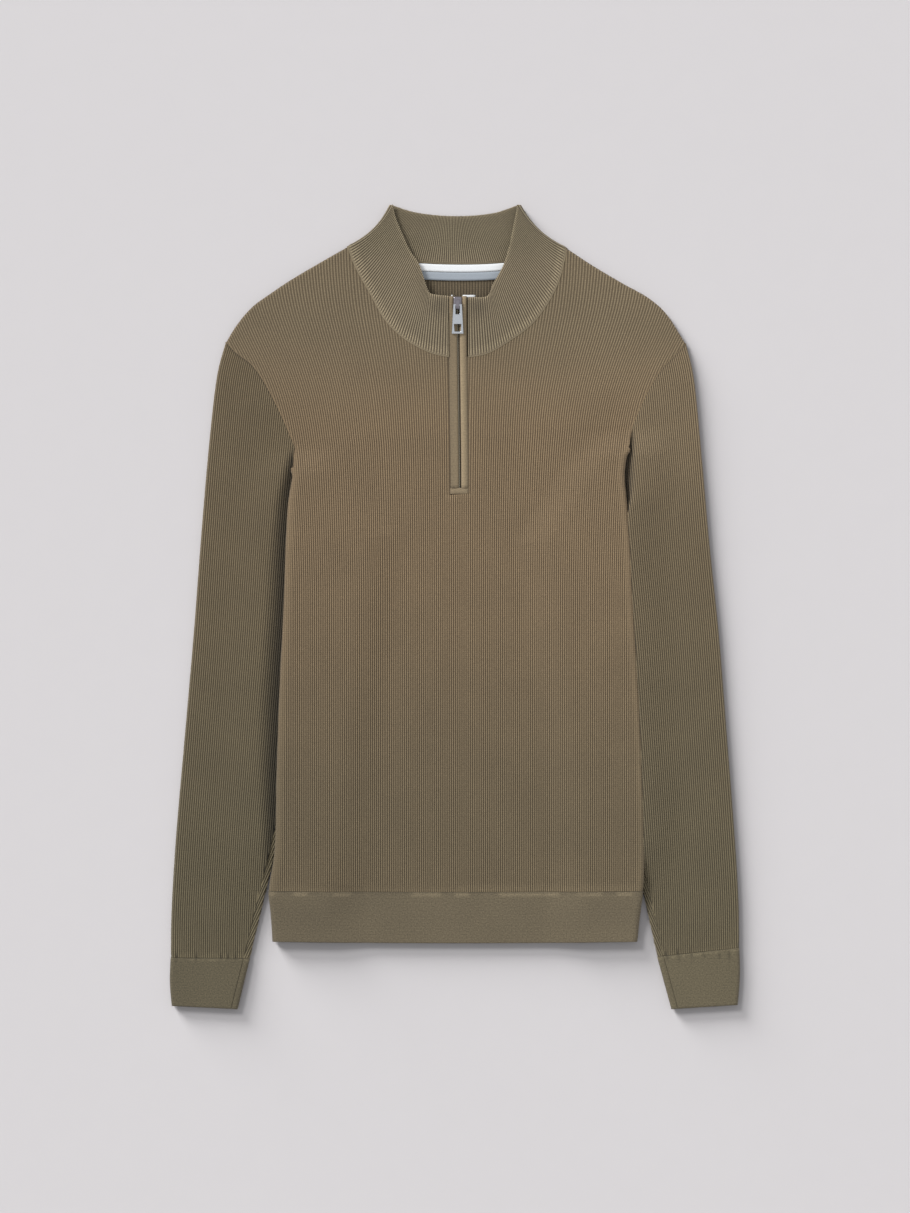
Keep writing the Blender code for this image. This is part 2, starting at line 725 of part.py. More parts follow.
def make_body(knit):
    rows = body_rows()
    below_zip = [row for row in rows if (row[0] + row[1]) / 2 < ZIP_END_Y]
    cloth("front", body_patches("front") + [middle_strip(below_zip)], KNIT, knit)
    cloth("back", body_patches("back"), KNIT, knit)


def make_hem(rib):
    rows = [(y, y) for y in (HEM_TOP_Y - SEAM / 2, -305.0, -326.0, HEM_Y)]
    for piece in ("front", "back"):
        patches = [middle_strip(rows)] if piece == "front" else []
        for side in SIDES:
            patches.append((range(9), rows, lambda c, r, s=side: body_point(s, piece, c, r)))
            patches.append((range(11), rows, lambda c, r, s=side: side_point(s, piece, c, r)))
        cloth("hem_rib_" + piece, patches, KNIT, rib)


def make_sleeves(knit, rib):
    stations = tube_stations()
    for side in SIDES:
        rows = [n / 14 for n in range(15)]
        cloth("sleeve_" + side, [(stations, rows, lambda c, r, s=side: tube(s, sleeve_plan, c, r))], KNIT, knit)
        rows = [0.0, 0.5, 1.0]
        cloth("cuff_" + side, [(stations, rows, lambda c, r, s=side: tube(s, cuff_plan, c, r))], KNIT, rib)


def make_collar(rib):
    cloth("collar", [(collar_stations(), [0.0, 0.3, 0.65, 1.0], collar_point)], COLLAR_KNIT, rib)


# Zip and trim.

def spread(y, closed, opened):
    """Half the gap beside the zip line, wider where the slider stands."""
    return mix(closed, opened, smooth((y - SPREAD_Y) / SPREAD))


ZIP_ROWS = (140.0, 170.0, 200.0, 230.0, 250.0, 268.0, 280.0, 289.0, 292.5, 296.0, 302.0)


def strip_point(side, column, y, inner, outer, below):
    """A point of a strip along the zip. Column 0 is its inner edge, 1 its outer one."""
    x = zip_x(y) + SIDES[side] * mix(inner, outer, column)
    return Vector((x, y, FRONT_Z + neck_lift(x, y) - below))


def make_plackets(rib):
    rise = (PLACKET_KNIT - KNIT) / 2
    rows = (ZIP_BAR_Y + SEAM, *ZIP_ROWS, COLLAR_TOP_Y)
    for side in SIDES:
        def place(column, y, side=side):
            return strip_point(side, column, y, spread(y, SLIT_HALF, SLIDER_HALF), PLACKET_HALF, -rise)
        cloth("placket_" + side, [((0.0, 0.5, 1.0), rows, place)], PLACKET_KNIT, rib)

    def bar(column, y):
        return Vector((zip_x(y) + column * PLACKET_HALF, y, FRONT_Z + rise))
    rows = (ZIP_END_Y + SEAM, ZIP_BAR_Y)
    cloth("placket_end", [((-1.0, 0.0, 1.0), rows, bar)], PLACKET_KNIT, rib)


def make_zip(woven, teeth):
    below = KNIT / 2 + SEAM + TAPE / 2
    rows = (ZIP_BAR_Y - 3, *ZIP_ROWS, 308.0, TAPE_TOP_Y)
    for side in SIDES:
        def place(column, y, side=side):
            outer = TAPE_OUTER
            if side == "left":
                outer = mix(TAPE_OUTER, TAPE_TURNED, smooth((y - 302.0) / 6))
            return strip_point(side, column, y, spread(y, TAPE_INNER, SLIDER_HALF + 0.1), outer, below)
        cloth("zip_tape_" + side, [((0.0, 0.5, 1.0), rows, place)], TAPE, woven)

    def chain(column, y):
        return strip_point("left", (column + 1) / 2, y, -CHAIN_HALF, CHAIN_HALF, below + 0.2)
    rows = (ZIP_BAR_Y + SEAM, *ZIP_ROWS[:-1], SLIDER["bottom_y"] - SEAM)
    cloth("zip_chain", [((-1.0, 0.0, 1.0), rows, chain)], CHAIN_WALL, teeth)


def make_neck_tapes(looks):
    for name, tape in NECK_TAPES.items():
        def place(column, row, tape=tape):
            point = along(BACK_NECK, mix(tape["from"], tape["to"], column / 8))
            y = point.y - mix(tape["bottom"], tape["top"], row)
            return Vector((point.x, y, BACK_Z + KNIT / 2 + SEAM + TAPE / 2))
        cloth(name, [(range(9), (0.0, 1.0), place)], TAPE, looks[name])


def make_slider(metal):
    x = zip_x(SLIDER["top_y"])
    bm = bmesh.new()
    bmesh.ops.create_cube(bm, size=1.0)
    size = Vector((SLIDER["width"], SLIDER["top_y"] - SLIDER["bottom_y"], SLIDER["high"] - SLIDER["low"]))
    middle = Vector((x, (SLIDER["top_y"] + SLIDER["bottom_y"]) / 2, (SLIDER["high"] + SLIDER["low"]) / 2))
    for vert in bm.verts:
        vert.co = (Vector(a * b for a, b in zip(vert.co, size)) + middle) * MM
    bmesh.ops.bevel(
        bm, geom=bm.edges[:], offset=SLIDER["bevel"] * MM, segments=2, profile=0.5, affect="EDGES", material=-1,
    )
    slider = finish("zip_slider", bm, metal)

    bm = bmesh.new()
    outline = [bm.verts.new(Vector((x - BRIDGE_HALF, y, z)) * MM) for y, z in BRIDGE]
    face = bm.faces.new(outline)
    swept = bmesh.ops.extrude_face_region(bm, geom=[face])
    moved = [part for part in swept["geom"] if isinstance(part, bmesh.types.BMVert)]
    bmesh.ops.translate(bm, verts=moved, vec=(2 * BRIDGE_HALF * MM, 0, 0))
    bmesh.ops.recalc_face_normals(bm, faces=bm.faces)
    bridge = finish("slider_bridge", bm, metal)
    bridge.hide_render = True
    bridge.display_type = "WIRE"
    joined = slider.modifiers.new("bridge", "BOOLEAN")
    joined.operation = "UNION"
    joined.object = bridge


def make_pull_tab(metal):
    bm = bmesh.new()

    def place(column, row):
        sizes = TAB_ROWS[row]
        across = (-sizes["half"], -sizes["opening"], sizes["opening"], sizes["half"])[column]
        return Vector((across, -sizes["down"], 0.0))
    patch(bm, range(4), range(len(TAB_ROWS)), place)
    opened = []
    for face in bm.faces:
        middle = face.calc_center_median() / MM
        for row in TAB_OPEN_ROWS:
            if abs(middle.x) < 1 and TAB_ROWS[row]["down"] < -middle.y < TAB_ROWS[row + 1]["down"]:
                opened.append(face)
    bmesh.ops.delete(bm, geom=opened, context="FACES")
    bmesh.ops.recalc_face_normals(bm, faces=bm.faces)
    tab = finish("zip_pull_tab", bm, metal)
    tab.location = Vector((zip_x(SLIDER["top_y"]), HINGE_Y, HINGE_Z)) * MM
    tab.rotation_euler = (TAB_SLOPE, 0.0, 0.0)
    wall = tab.modifiers.new("wall", "SOLIDIFY")
    wall.thickness = TAB_WALL * MM
    wall.offset = 0.0
    edges = tab.modifiers.new("edges", "BEVEL")
    edges.width = 0.25 * MM
    edges.segments = 1


def main():
    for obj in list(bpy.data.objects):
        bpy.data.objects.remove(obj, do_unlink=True)
    knit = material("ribbed wool knit", "786753", 0.92)
    rib = material("fine rib knit", "6d6451", 0.92)
    make_body(knit)
    make_hem(rib)
    make_sleeves(knit, rib)
    make_collar(rib)
    make_plackets(rib)
    make_zip(material("woven tape", "dedcd6", 0.8), material("moulded zip teeth", "5b5348", 0.5))
    make_neck_tapes({
        "neck_tape_white": material("white twill tape", "edf1f3", 0.8),
        "neck_tape_grey": material("grey twill tape", "a1a8b0", 0.8),
    })
    metal = material("nickel plated zinc", "d4d4d0", 0.3, 1.0)
    make_slider(metal)
    make_pull_tab(metal)


main()
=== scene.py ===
"""Looks of the quarter zip sweater that lies flat: its rib knit, rib bands, zip, tapes, floor and light."""

import functools
import math

import bmesh
import bpy
import numpy as np
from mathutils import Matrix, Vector


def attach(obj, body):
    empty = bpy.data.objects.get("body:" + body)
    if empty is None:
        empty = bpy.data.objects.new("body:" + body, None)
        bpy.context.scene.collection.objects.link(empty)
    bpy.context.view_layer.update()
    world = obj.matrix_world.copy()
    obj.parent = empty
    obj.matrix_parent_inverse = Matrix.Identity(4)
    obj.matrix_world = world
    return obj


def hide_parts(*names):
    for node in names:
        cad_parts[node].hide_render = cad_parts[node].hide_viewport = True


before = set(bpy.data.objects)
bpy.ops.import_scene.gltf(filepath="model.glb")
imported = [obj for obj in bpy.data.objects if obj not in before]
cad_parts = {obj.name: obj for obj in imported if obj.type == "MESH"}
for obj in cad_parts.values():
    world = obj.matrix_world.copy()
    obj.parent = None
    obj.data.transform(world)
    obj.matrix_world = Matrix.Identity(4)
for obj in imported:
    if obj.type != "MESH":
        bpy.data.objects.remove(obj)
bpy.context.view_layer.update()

MM = 0.001


def table(columns, *rows):
    """Rows of numbers under named columns."""
    return [dict(zip(columns, row)) for row in rows]


# Cloth and how it lies, in millimetres, as the frame was built.
KNIT = 2.0              # the knit from the top of its ribs to the bottom of the ribs behind
COLLAR_KNIT = 3.0       # the doubled collar
TAPE = 0.8
SEAM = 0.3
SEAM_SIDE = 0.33
ROLLED_SEAM = 1.4
LAYER_GAP = 0.5
SLEEVE_GAP = 0.4
BACK_Z = KNIT / 2
FRONT_Z = 5.5
DIP_Z = BACK_Z + KNIT + LAYER_GAP
STEP = KNIT + LAYER_GAP
SLEEVE_STACK = 2 * KNIT + LAYER_GAP + SLEEVE_GAP
DIP_FLAT = 12.0
DIP_RISE = 45.0
TURN_RADIUS = {"front": 1.5 * STEP, "back": 0.5 * STEP}
TURN_INSET = KNIT / 2 + 1.5 * STEP

# Knit: a rib is one ridge and one furrow.
RIB = 2.13              # body and sleeves, one rib
RIB_DEEP = 0.38         # half the height from furrow to ridge
COLLAR_RIB = 2.9
COURSE = 1.9            # one row of stitches
PLY = 1.0               # one layer of the doubled collar
PLY_OFFSET = 0.85       # from the collar's middle to each layer's

HEM_Y = -334.5
HEM_TOP_Y = -283.5
HEM_BOW = 1.6           # how far the hem's middle hangs below its ends
BOW_START_Y = -200.0
BOW_RISE = 80.0
HEM_FLAT = 8.5          # above the hem, where the body still lies on the surface
HEM_RISE = 40.0         # and the way up onto the sleeves
ZIP_END_Y = 112.0
ZIP_BAR_Y = 118.0
ZIP_X = (4.4, 2.6)      # the zip's line, at its end and at the collar's top
COLLAR_TOP_Y = 309.5
MID_X = 4.0
PLACKET_HALF = 8.8
SLIDER_HALF = 4.9
SPREAD_Y = 289.0
SPREAD = 7.0
UNDERARM = 6.5          # from a sleeve's inner fold to its seam
UNDERFOLD_EDGE = 2.0    # from the end of what is folded under to its seam
TURN_START = 20.0       # below the fold's start, where the turn begins
TURN_END = 30.0         # and where it is whole

# Distance out of the body's folded edge.
BODY_EDGE = table(
    ("y", "right", "left"),
    (-334.5, 182.4, 182.2),
    (-305.0, 184.2, 185.2),
    (-285.0, 186.0, 187.7),
    (-246.0, 180.5, 189.5),
    (-170.0, 178.4, 188.2),
    (-85.0, 175.5, 184.2),
    (6.0, 171.0, 178.5),
    (65.0, 169.0, 175.5),
    (105.0, 166.6, 171.8),
    (132.0, 162.2, 169.6),
    (159.5, 160.5, 173.4),
    (179.0, 160.5, 177.0),
)
# How far in the cloth that is folded under reaches.
UNDERFOLD = table(("y", "depth"), (-334.5, 40.0), (-200.0, 46.0), (-60.0, 55.0), (66.0, 65.0))
# Outlines, as distance out and y: the point where the body's side begins to fold under, and the seams.
FOLD_START = {"right": (160.5, 159.5), "left": (177.0, 179.0)}
ARMPIT = {"right": (104.0, 66.0), "left": (110.5, 66.0)}
ARMHOLE = {
    "right": ((229.0, 264.0), (218.5, 253.0), (203.0, 241.0), (189.6, 221.5), (174.6, 192.0), (160.5, 159.5)),
    "left": ((230.7, 262.5), (220.0, 251.0), (206.6, 236.5), (193.0, 215.0), (183.5, 195.0), (177.0, 179.0)),
}
NECKLINE = {
    "right": ((5.2, 249.7), (26.4, 255.0), (50.5, 268.5), (69.3, 287.0),
              (82.7, 311.0), (97.4, 338.0), (107.0, 359.5)),
    "left": ((13.0, 249.7), (32.5, 253.7), (54.0, 266.0), (75.4, 282.0),
             (91.4, 303.0), (102.0, 324.7), (111.5, 357.8)),
}
SHOULDER = {
    "right": ((107.0, 359.5), (158.0, 330.0), (184.5, 312.6), (203.0, 299.0), (218.5, 281.0), (229.0, 264.0)),
    "left": ((111.5, 357.8), (137.0, 341.0), (166.4, 323.5), (193.0, 308.6), (212.0, 291.5), (230.7, 262.5)),
}
BACK_NECK = ((-107.0, 359.5), (-60.0, 346.0), (4.0, 342.0), (64.0, 345.5), (111.5, 357.8))
COLLAR_EDGE = {
    "right": ((5.2, 309.5), (21.0, 311.5), (27.0, 316.0), (35.8, 342.0),
              (44.6, 355.0), (53.4, 374.0), (66.0, 401.1)),
    "left": ((13.0, 308.5), (31.7, 309.5), (38.0, 322.0), (47.8, 340.0),
             (53.7, 358.0), (59.6, 382.8), (66.0, 401.1)),
}
COLLAR_BACK_EDGE = ((-66.0, 401.1), (-36.0, 393.5), (0.0, 390.5), (36.0, 393.0), (66.0, 401.1))
SLEEVE_OUTER = {
    "right": ((229.0, 264.0), (238.0, 228.5), (246.0, 158.6), (254.0, 65.0), (261.0, -27.0),
              (270.0, -130.0), (278.6, -229.0), (283.0, -300.0), (284.0, -350.5)),
    "left": ((230.7, 262.5), (239.0, 225.0), (246.8, 145.0), (254.4, 60.0), (263.4, -26.5),
             (271.5, -128.0), (279.5, -232.0), (283.0, -290.0), (284.0, -340.5)),
}
CUFF = {
    "right": {"top_outer": (284.0, -350.5), "top_inner": (204.8, -351.5), "outer": (283.0, -398.8),
              "inner": (217.0, -402.0), "bulge": 1.4},
    "left": {"top_outer": (284.0, -340.5), "top_inner": (201.8, -349.5), "outer": (282.4, -397.8),
             "inner": (216.0, -402.0), "bulge": 1.4},
}
NECK_TAPES = {
    "neck_tape_white": {"from": 0.2, "to": 0.8, "top": 0.5, "bottom": 7.9},
    "neck_tape_grey": {"from": 0.22, "to": 0.78, "top": 8.3, "bottom": 16.4},
}
# The ribs fan out towards the shoulders: how much wider they are than at the waist.
FAN = table(
    ("y", "wide"),
    (20.0, 1.0), (60.0, 1.006), (90.0, 1.013), (120.0, 1.025), (150.0, 1.042), (180.0, 1.070),
    (210.0, 1.115), (240.0, 1.185), (270.0, 1.270), (300.0, 1.345), (330.0, 1.385), (360.0, 1.400),
)
# Width of the valley between the body's edge and the sleeve beside it.
VALLEY = {
    "right": table(("y", "wide"), (-285.0, 7.0), (-230.0, 15.0), (90.0, 15.5), (140.0, 10.0), (166.0, 3.5)),
    "left": table(
        ("y", "wide"), (60.0, 1.4), (95.0, 1.6), (112.0, 8.5), (132.0, 13.0), (155.0, 9.5), (182.0, 2.5),
    ),
}
# A sleeve stands up beside the body's edge, and on the left its rise begins under that edge.
PUFF = {"right": 5.5, "left": 9.8}
PUFF_WIDTH = 42.0
PUFF_START = {"right": 0.0, "left": 2.6}
PUFF_START_Y = 105.0
PUFF_FADE = {"start": 30.0, "top": 30.0, "hem": 55.0}
# The open collar lifts the front layer.
LIFT = 6.5
LIFT_START_Y = 225.0
LIFT_RISE = 85.0
LIFT_WIDTH = 90.0
SIDES = {"right": -1, "left": 1}


def clamp(value):
    return min(max(value, 0.0), 1.0)


def smooth(value):
    value = clamp(value)
    return value * value * (3 - 2 * value)


def mix(a, b, t):
    return a + (b - a) * t


def read(rows, y, column):
    """Value of a column at y, on a soft curve through a table's rows, which rise in y."""
    keys = [row["y"] for row in rows]
    values = [row[column] for row in rows]
    if y <= keys[0]:
        return values[0]
    if y >= keys[-1]:
        return values[-1]
    i = min(max(n for n, key in enumerate(keys) if key <= y), len(keys) - 2)
    slopes = [(values[n + 1] - values[n]) / (keys[n + 1] - keys[n]) for n in range(len(keys) - 1)]
    start = slopes[i] if i == 0 else (slopes[i - 1] + slopes[i]) / 2
    end = slopes[i] if i == len(slopes) - 1 else (slopes[i] + slopes[i + 1]) / 2
    span = keys[i + 1] - keys[i]
    t = (y - keys[i]) / span
    return (
        values[i] * (1 + 2 * t) * (1 - t) ** 2
        + start * span * t * (1 - t) ** 2
        + values[i + 1] * t * t * (3 - 2 * t)
        + end * span * t * t * (t - 1)
    )


class Curve:
    """A soft curve through points, read at a fraction of its length, or at one of its coordinates."""

    def __init__(self, points, moved=0.0):
        points = [Vector(point) for point in points]
        dense = [points[0]]
        for i in range(len(points) - 1):
            a = points[i]
            b = points[i + 1]
            before = points[i - 1] if i else a * 2 - b
            after = points[i + 2] if i + 2 < len(points) else b * 2 - a
            for step in range(1, 13):
                s = step / 12
                dense.append(
                    0.5 * (2 * a + (b - before) * s + (2 * before - 5 * a + 4 * b - after) * s * s
                           + (3 * a - before - 3 * b + after) * s ** 3)
                )
        line = np.array([point[:] for point in dense])
        if moved:
            way = np.gradient(line, axis=0)
            way /= np.linalg.norm(way, axis=1, keepdims=True)
            line = line + np.stack([way[:, 1], -way[:, 0]], axis=1) * moved
        self.line = line
        self.lengths = np.concatenate([[0.0], np.cumsum(np.linalg.norm(np.diff(line, axis=0), axis=1))])
        self.length = float(self.lengths[-1])

    def at(self, t):
        target = clamp(t) * self.length
        return Vector([float(np.interp(target, self.lengths, self.line[:, axis])) for axis in (0, 1)])

    def other(self, value, axis):
        """The other coordinate of the point whose coordinate on this axis is the value."""
        rising = self.line if self.line[-1, axis] > self.line[0, axis] else self.line[::-1]
        return float(np.interp(value, rising[:, axis], rising[:, 1 - axis]))

    def y_at(self, x):
        return self.other(x, 0)

    def x_at(self, y):
        return self.other(y, 1)


@functools.lru_cache(None)
def fan_table():
    heights = np.arange(0.0, 400.0, 2.0)
    return heights, np.array([read(FAN, y, "wide") for y in heights])


def fan(y):
    return float(np.interp(y, *fan_table()))


def meeting(above, low, high):
    """The y between low and high where above(y) turns from false to true."""
    for _ in range(24):
        middle = (low + high) / 2
        if above(middle):
            high = middle
        else:
            low = middle
    return high


def zip_x(y):
    return mix(*ZIP_X, smooth((y - ZIP_BAR_Y) / (COLLAR_TOP_Y - ZIP_BAR_Y)))


def slit_x(side, y):
    return zip_x(y) + SIDES[side] * (PLACKET_HALF + SEAM)


def neck_lift(x, y):
    """How far the front layer is lifted by the open collar."""
    return LIFT * smooth((y - LIFT_START_Y) / LIFT_RISE) * smooth(1 - abs(x - MID_X) / LIFT_WIDTH)


# Heights of the body's layers. A distance out is from the line x = 0, towards that side.

@functools.lru_cache(None)
def edge_out(side, y):
    return read(BODY_EDGE, y, side)


@functools.lru_cache(None)
def fold_depth(side, y):
    """How far in the underfold reaches from the folded edge."""
    armpit_out, armpit_y = ARMPIT[side]
    if y <= armpit_y:
        full = read(UNDERFOLD, armpit_y, "depth")
        return read(UNDERFOLD, y, "depth") * (edge_out(side, armpit_y) - armpit_out) / full
    start = FOLD_START[side][1] - TURN_END
    part = clamp((start - y) / (start - armpit_y))
    return mix(TURN_INSET, edge_out(side, armpit_y) - armpit_out, part ** 1.1)


@functools.lru_cache(None)
def section(side, piece, y):
    """Sizes of the body's cross-section at y: its folded edge, heights and lengths along the cloth."""
    below = FOLD_START[side][1] - y
    lowest = BACK_Z + SLEEVE_STACK * smooth((y - HEM_Y - HEM_FLAT) / HEM_RISE)
    rise = smooth(below / TURN_END)
    flat, pressed_z, layers = (FRONT_Z, DIP_Z, 3) if piece == "front" else (BACK_Z, BACK_Z, 2)
    top = mix(pressed_z, lowest + layers * STEP, rise)
    turn = clamp((below - TURN_START) / (TURN_END - TURN_START))
    front_end = edge_out(side, y) - mix(SEAM_SIDE, TURN_INSET, smooth(turn))
    end = front_end
    if piece == "back":
        end = min(front_end, edge_out(side, y) - mix(SEAM_SIDE, TURN_INSET, clamp(below / TURN_START)))
    radius = TURN_RADIUS[piece]
    turned = below > TURN_END
    inner = min(edge_out(side, y) - fold_depth(side, y), front_end) if turned else front_end
    seamed = y <= ARMPIT[side][1] + 1
    roll = STEP / 2
    seam_out = end
    if turned:
        seam_out = min(inner + UNDERFOLD_EDGE + KNIT / 2 + (roll if seamed else 0.0), end)
    return {
        "flat": flat, "top": top, "end": end, "inner": inner, "radius": radius, "roll": roll,
        "seam_out": seam_out,
        "top_length": end - SIDES[side] * MID_X,
        "turn_length": math.pi * turn * radius,
        "under_length": end - seam_out,
        "roll_length": math.pi / 2 * roll if turned and seamed else 0.0,
    }


def pressed(distance):
    return 1 - smooth((distance - DIP_FLAT) / DIP_RISE)


def section_point(side, piece, sizes, s):
    """Distance out and height at the length s along the cloth, from the middle line as far as its end."""
    if s <= sizes["top_length"]:
        out = SIDES[side] * MID_X + s
        return out, mix(sizes["flat"], sizes["top"], pressed(sizes["inner"] - out))
    s -= sizes["top_length"]
    radius = sizes["radius"]
    if s <= sizes["turn_length"] or sizes["under_length"] + sizes["roll_length"] == 0:
        angle = min(s, sizes["turn_length"]) / radius
        return sizes["end"] + radius * math.sin(angle), sizes["top"] - radius * (1 - math.cos(angle))
    s -= sizes["turn_length"]
    low = sizes["top"] - 2 * radius
    if s <= sizes["under_length"]:
        return sizes["end"] - s, low
    angle = min((s - sizes["under_length"]) / sizes["roll"], math.pi / 2) if sizes["roll_length"] else 0.0
    way = 1 if piece == "front" else -1
    out = sizes["seam_out"] - sizes["roll"] * math.sin(angle)
    return out, low + way * (sizes["roll"] - ROLLED_SEAM / 2) * (1 - math.cos(angle))


# Making cloth. Every piece has an attribute "cloth": length across it and along it, in millimetres, and its
# rib, from -1 in a furrow to 1 on a ridge. Its second attribute is painted light with some real marks: from
# -1, painted shade deep in a crease, to 1, a painted highlight on an edge or a pale linking mark.

def grid(bm, columns, rows, place):
    """A grid whose points, and whose cloth attribute, are put by place(column, row), in millimetres."""
    cloth = bm.verts.layers.float_vector.get("cloth") or bm.verts.layers.float_vector.new("cloth")
    shade = bm.verts.layers.float.get("painted_light_and_marks") or bm.verts.layers.float.new("painted_light_and_marks")
    last_column = len(columns) - 1
    last_row = len(rows) - 1
    made = bmesh.ops.create_grid(bm, x_segments=last_column, y_segments=last_row, size=0.5)
    for vert in made["verts"]:
        column = columns[round((vert.co.x + 0.5) * last_column)]
        row = rows[round((vert.co.y + 0.5) * last_row)]
        point, cloth_and_painted_light, *painted_light_and_marks = place(column, row)
        vert.co = Vector(point) * MM
        vert[cloth] = cloth_and_painted_light
        vert[shade] = painted_light_and_marks[0] if painted_light_and_marks else 0.0


def finish(name, bm, look, flat_shaded=False):
    mesh = bpy.data.meshes.new(name)
    for face in bm.faces:
        face.smooth = not flat_shaded
    bm.to_mesh(mesh)
    bm.free()
    mesh.materials.append(look)
    obj = bpy.data.objects.new(name, mesh)
    bpy.context.scene.collection.objects.link(obj)
    return obj


def knitted(name, bm, wall, look, rib_deep=0.0):
    """Welds a piece's grids, raises its ribs and gives it its wall."""
    bmesh.ops.remove_doubles(bm, verts=bm.verts, dist=0.02 * MM)
    bmesh.ops.recalc_face_normals(bm, faces=bm.faces)
    bm.normal_update()
    cloth = bm.verts.layers.float_vector["cloth"]
    if rib_deep:
        for vert in bm.verts:
            if not vert.is_boundary:
                vert.co += vert.normal * vert[cloth].z * rib_deep * MM
    piece = finish(name, bm, look, flat_shaded=bool(rib_deep))
    shell = piece.modifiers.new("wall", "SOLIDIFY")
    shell.thickness = (wall - 2 * rib_deep) * MM
    shell.offset = 0.0
    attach(piece, "garment")
    return piece


# Body.

# Rows of the body below the fold's start, close together where the cloth turns under.
FOLD_ROWS = (
    0, 3, 6, 9, 12, 15, 17.5, 20, 22.5, 25, 27.5, 30, 32.5, 36, 40, 45, 51, 57.25, 65, 73, 82, 92, 102, 112,
)
BODY_STEPS = 38
UPPER_STEPS = 22
SHOULDER_ROLL = 5
SHOULDER_RADIUS = (FRONT_Z - BACK_Z) / 2
SNAP = 9                # rib lines that share the move to a corner
# Width, depth and painted shade of the furrow beside the placket's strips.
GROOVE = {"wide": 2.6, "deep": 0.7, "painted_light_and_marks": 0.55}       # the furrow beside the placket's strips
SEWN = {"wide": 2.4, "deep": 0.5, "painted_light_and_marks": 0.4}          # the body's side of the armhole seam
EDGE_RIB = {"left": 0.3, "start": 5.0, "fade": 4.0}     # what is left of the ribs at the folded edge
UPPER_RIB = {"left": 0.62, "start": 130.0, "fade": 120.0}
# Painted shade on the back inside the neck, and where it begins.
INSIDE_PAINTED_SHADE = 0.45      # the back's shade inside the neck
INSIDE_Y = 296.0
INSIDE_RISE = 14.0
UNEVEN = 0.35           # height of the front's soft waves


def body_rows():
    """Pairs of y on the wearer's right and left, because the fold starts higher on the left."""
    rows = [tuple(FOLD_START[side][1] - step for side in SIDES) for step in FOLD_ROWS]
    last = rows[-1]
    bottom = HEM_TOP_Y + SEAM / 2
    rows += [tuple(mix(y, bottom, n / BODY_STEPS) for y in last) for n in range(1, BODY_STEPS + 1)]
    return rows


def split_at_zip(rows):
    """Rows above the placket's end, and below it, which share a row at the end itself."""
    middle = [(row[0] + row[1]) / 2 for row in rows]
    at = min(range(len(rows)), key=lambda n: abs(middle[n] - ZIP_END_Y))
    shift = ZIP_END_Y - middle[at]
    rows[at] = (rows[at][0] + shift, rows[at][1] + shift)
    return rows[:at + 1], rows[at:]


def rib_lengths(side, piece, widest):
    """Length across the cloth, at the waist, of each rib line. Some move a little, to meet the corners."""
    lengths = [n * RIB / 2 for n in range(int(widest / (RIB / 2)) + 2)]
    start = SIDES[side] * MID_X
    corners = [NECKLINE[side][-1], (FOLD_START[side][0] - SEAM_SIDE, FOLD_START[side][1])]
    if piece == "front":
        corners.append((SIDES[side] * slit_x(side, ZIP_END_Y), ZIP_END_Y))
    for out, y in corners:
        length = (out - start) / fan(y)
        nearest = min(range(len(lengths)), key=lambda n: abs(lengths[n] - length))
        moved = length - lengths[nearest]
        for n in range(len(lengths)):
            lengths[n] += moved * max(1 - abs(n - nearest) / SNAP, 0)
    return lengths


def bowed(side, out, y):
    """y of a point on a row, which bows towards the hem."""
    start = SIDES[side] * MID_X
    across = clamp((out - start) / (edge_out(side, y) - start))
    return y - HEM_BOW * (1 - across ** 2) * smooth((BOW_START_Y - y) / BOW_RISE)


def ridge(column):
    return 1.0 if column % 2 == 0 else -1.0


def groove(side, out, y):
    """Depth, from 0 to 1, of the furrow along the outside of the placket's strips."""
    if y < ZIP_END_Y - 1:
        return 0.0
    return 1 - smooth((out - SIDES[side] * slit_x(side, y)) / GROOVE["wide"])


def lower_place(side, piece, lengths, open_zip):
    """Places the part of a panel below the armholes' visible ends. Columns are numbers of its rib lines."""
    sign = SIDES[side]

    def place(column, row):
        y = row[list(SIDES).index(side)]
        middle_y = (row[0] + row[1]) / 2
        sizes = section(side, piece, y)
        s = lengths[column]
        out, z = section_point(side, piece, sizes, s * fan(y))
        deep = 0.0
        if open_zip:
            out = max(out, sign * slit_x(side, middle_y))
            deep = groove(side, out, middle_y)
        edge = smooth((s * fan(y) - sizes["top_length"] + EDGE_RIB["start"]) / EDGE_RIB["fade"])
        rib = ridge(column) * mix(1.0, EDGE_RIB["left"], edge) * (1 - deep)
        start = sign * MID_X
        across = clamp((out - start) / (sizes["inner"] - start)) if s * fan(y) <= sizes["top_length"] else 1.0
        y = bowed(side, out, mix(middle_y, y, across))
        if s <= sizes["top_length"]:
            z += surface(piece, sign * out, y) - GROOVE["deep"] * deep
        # The furrow beside the placket is darkened: painted shade.
        return (sign * out, y, z), (sign * s, y, rib), -GROOVE["painted_light_and_marks"] * deep
    return place


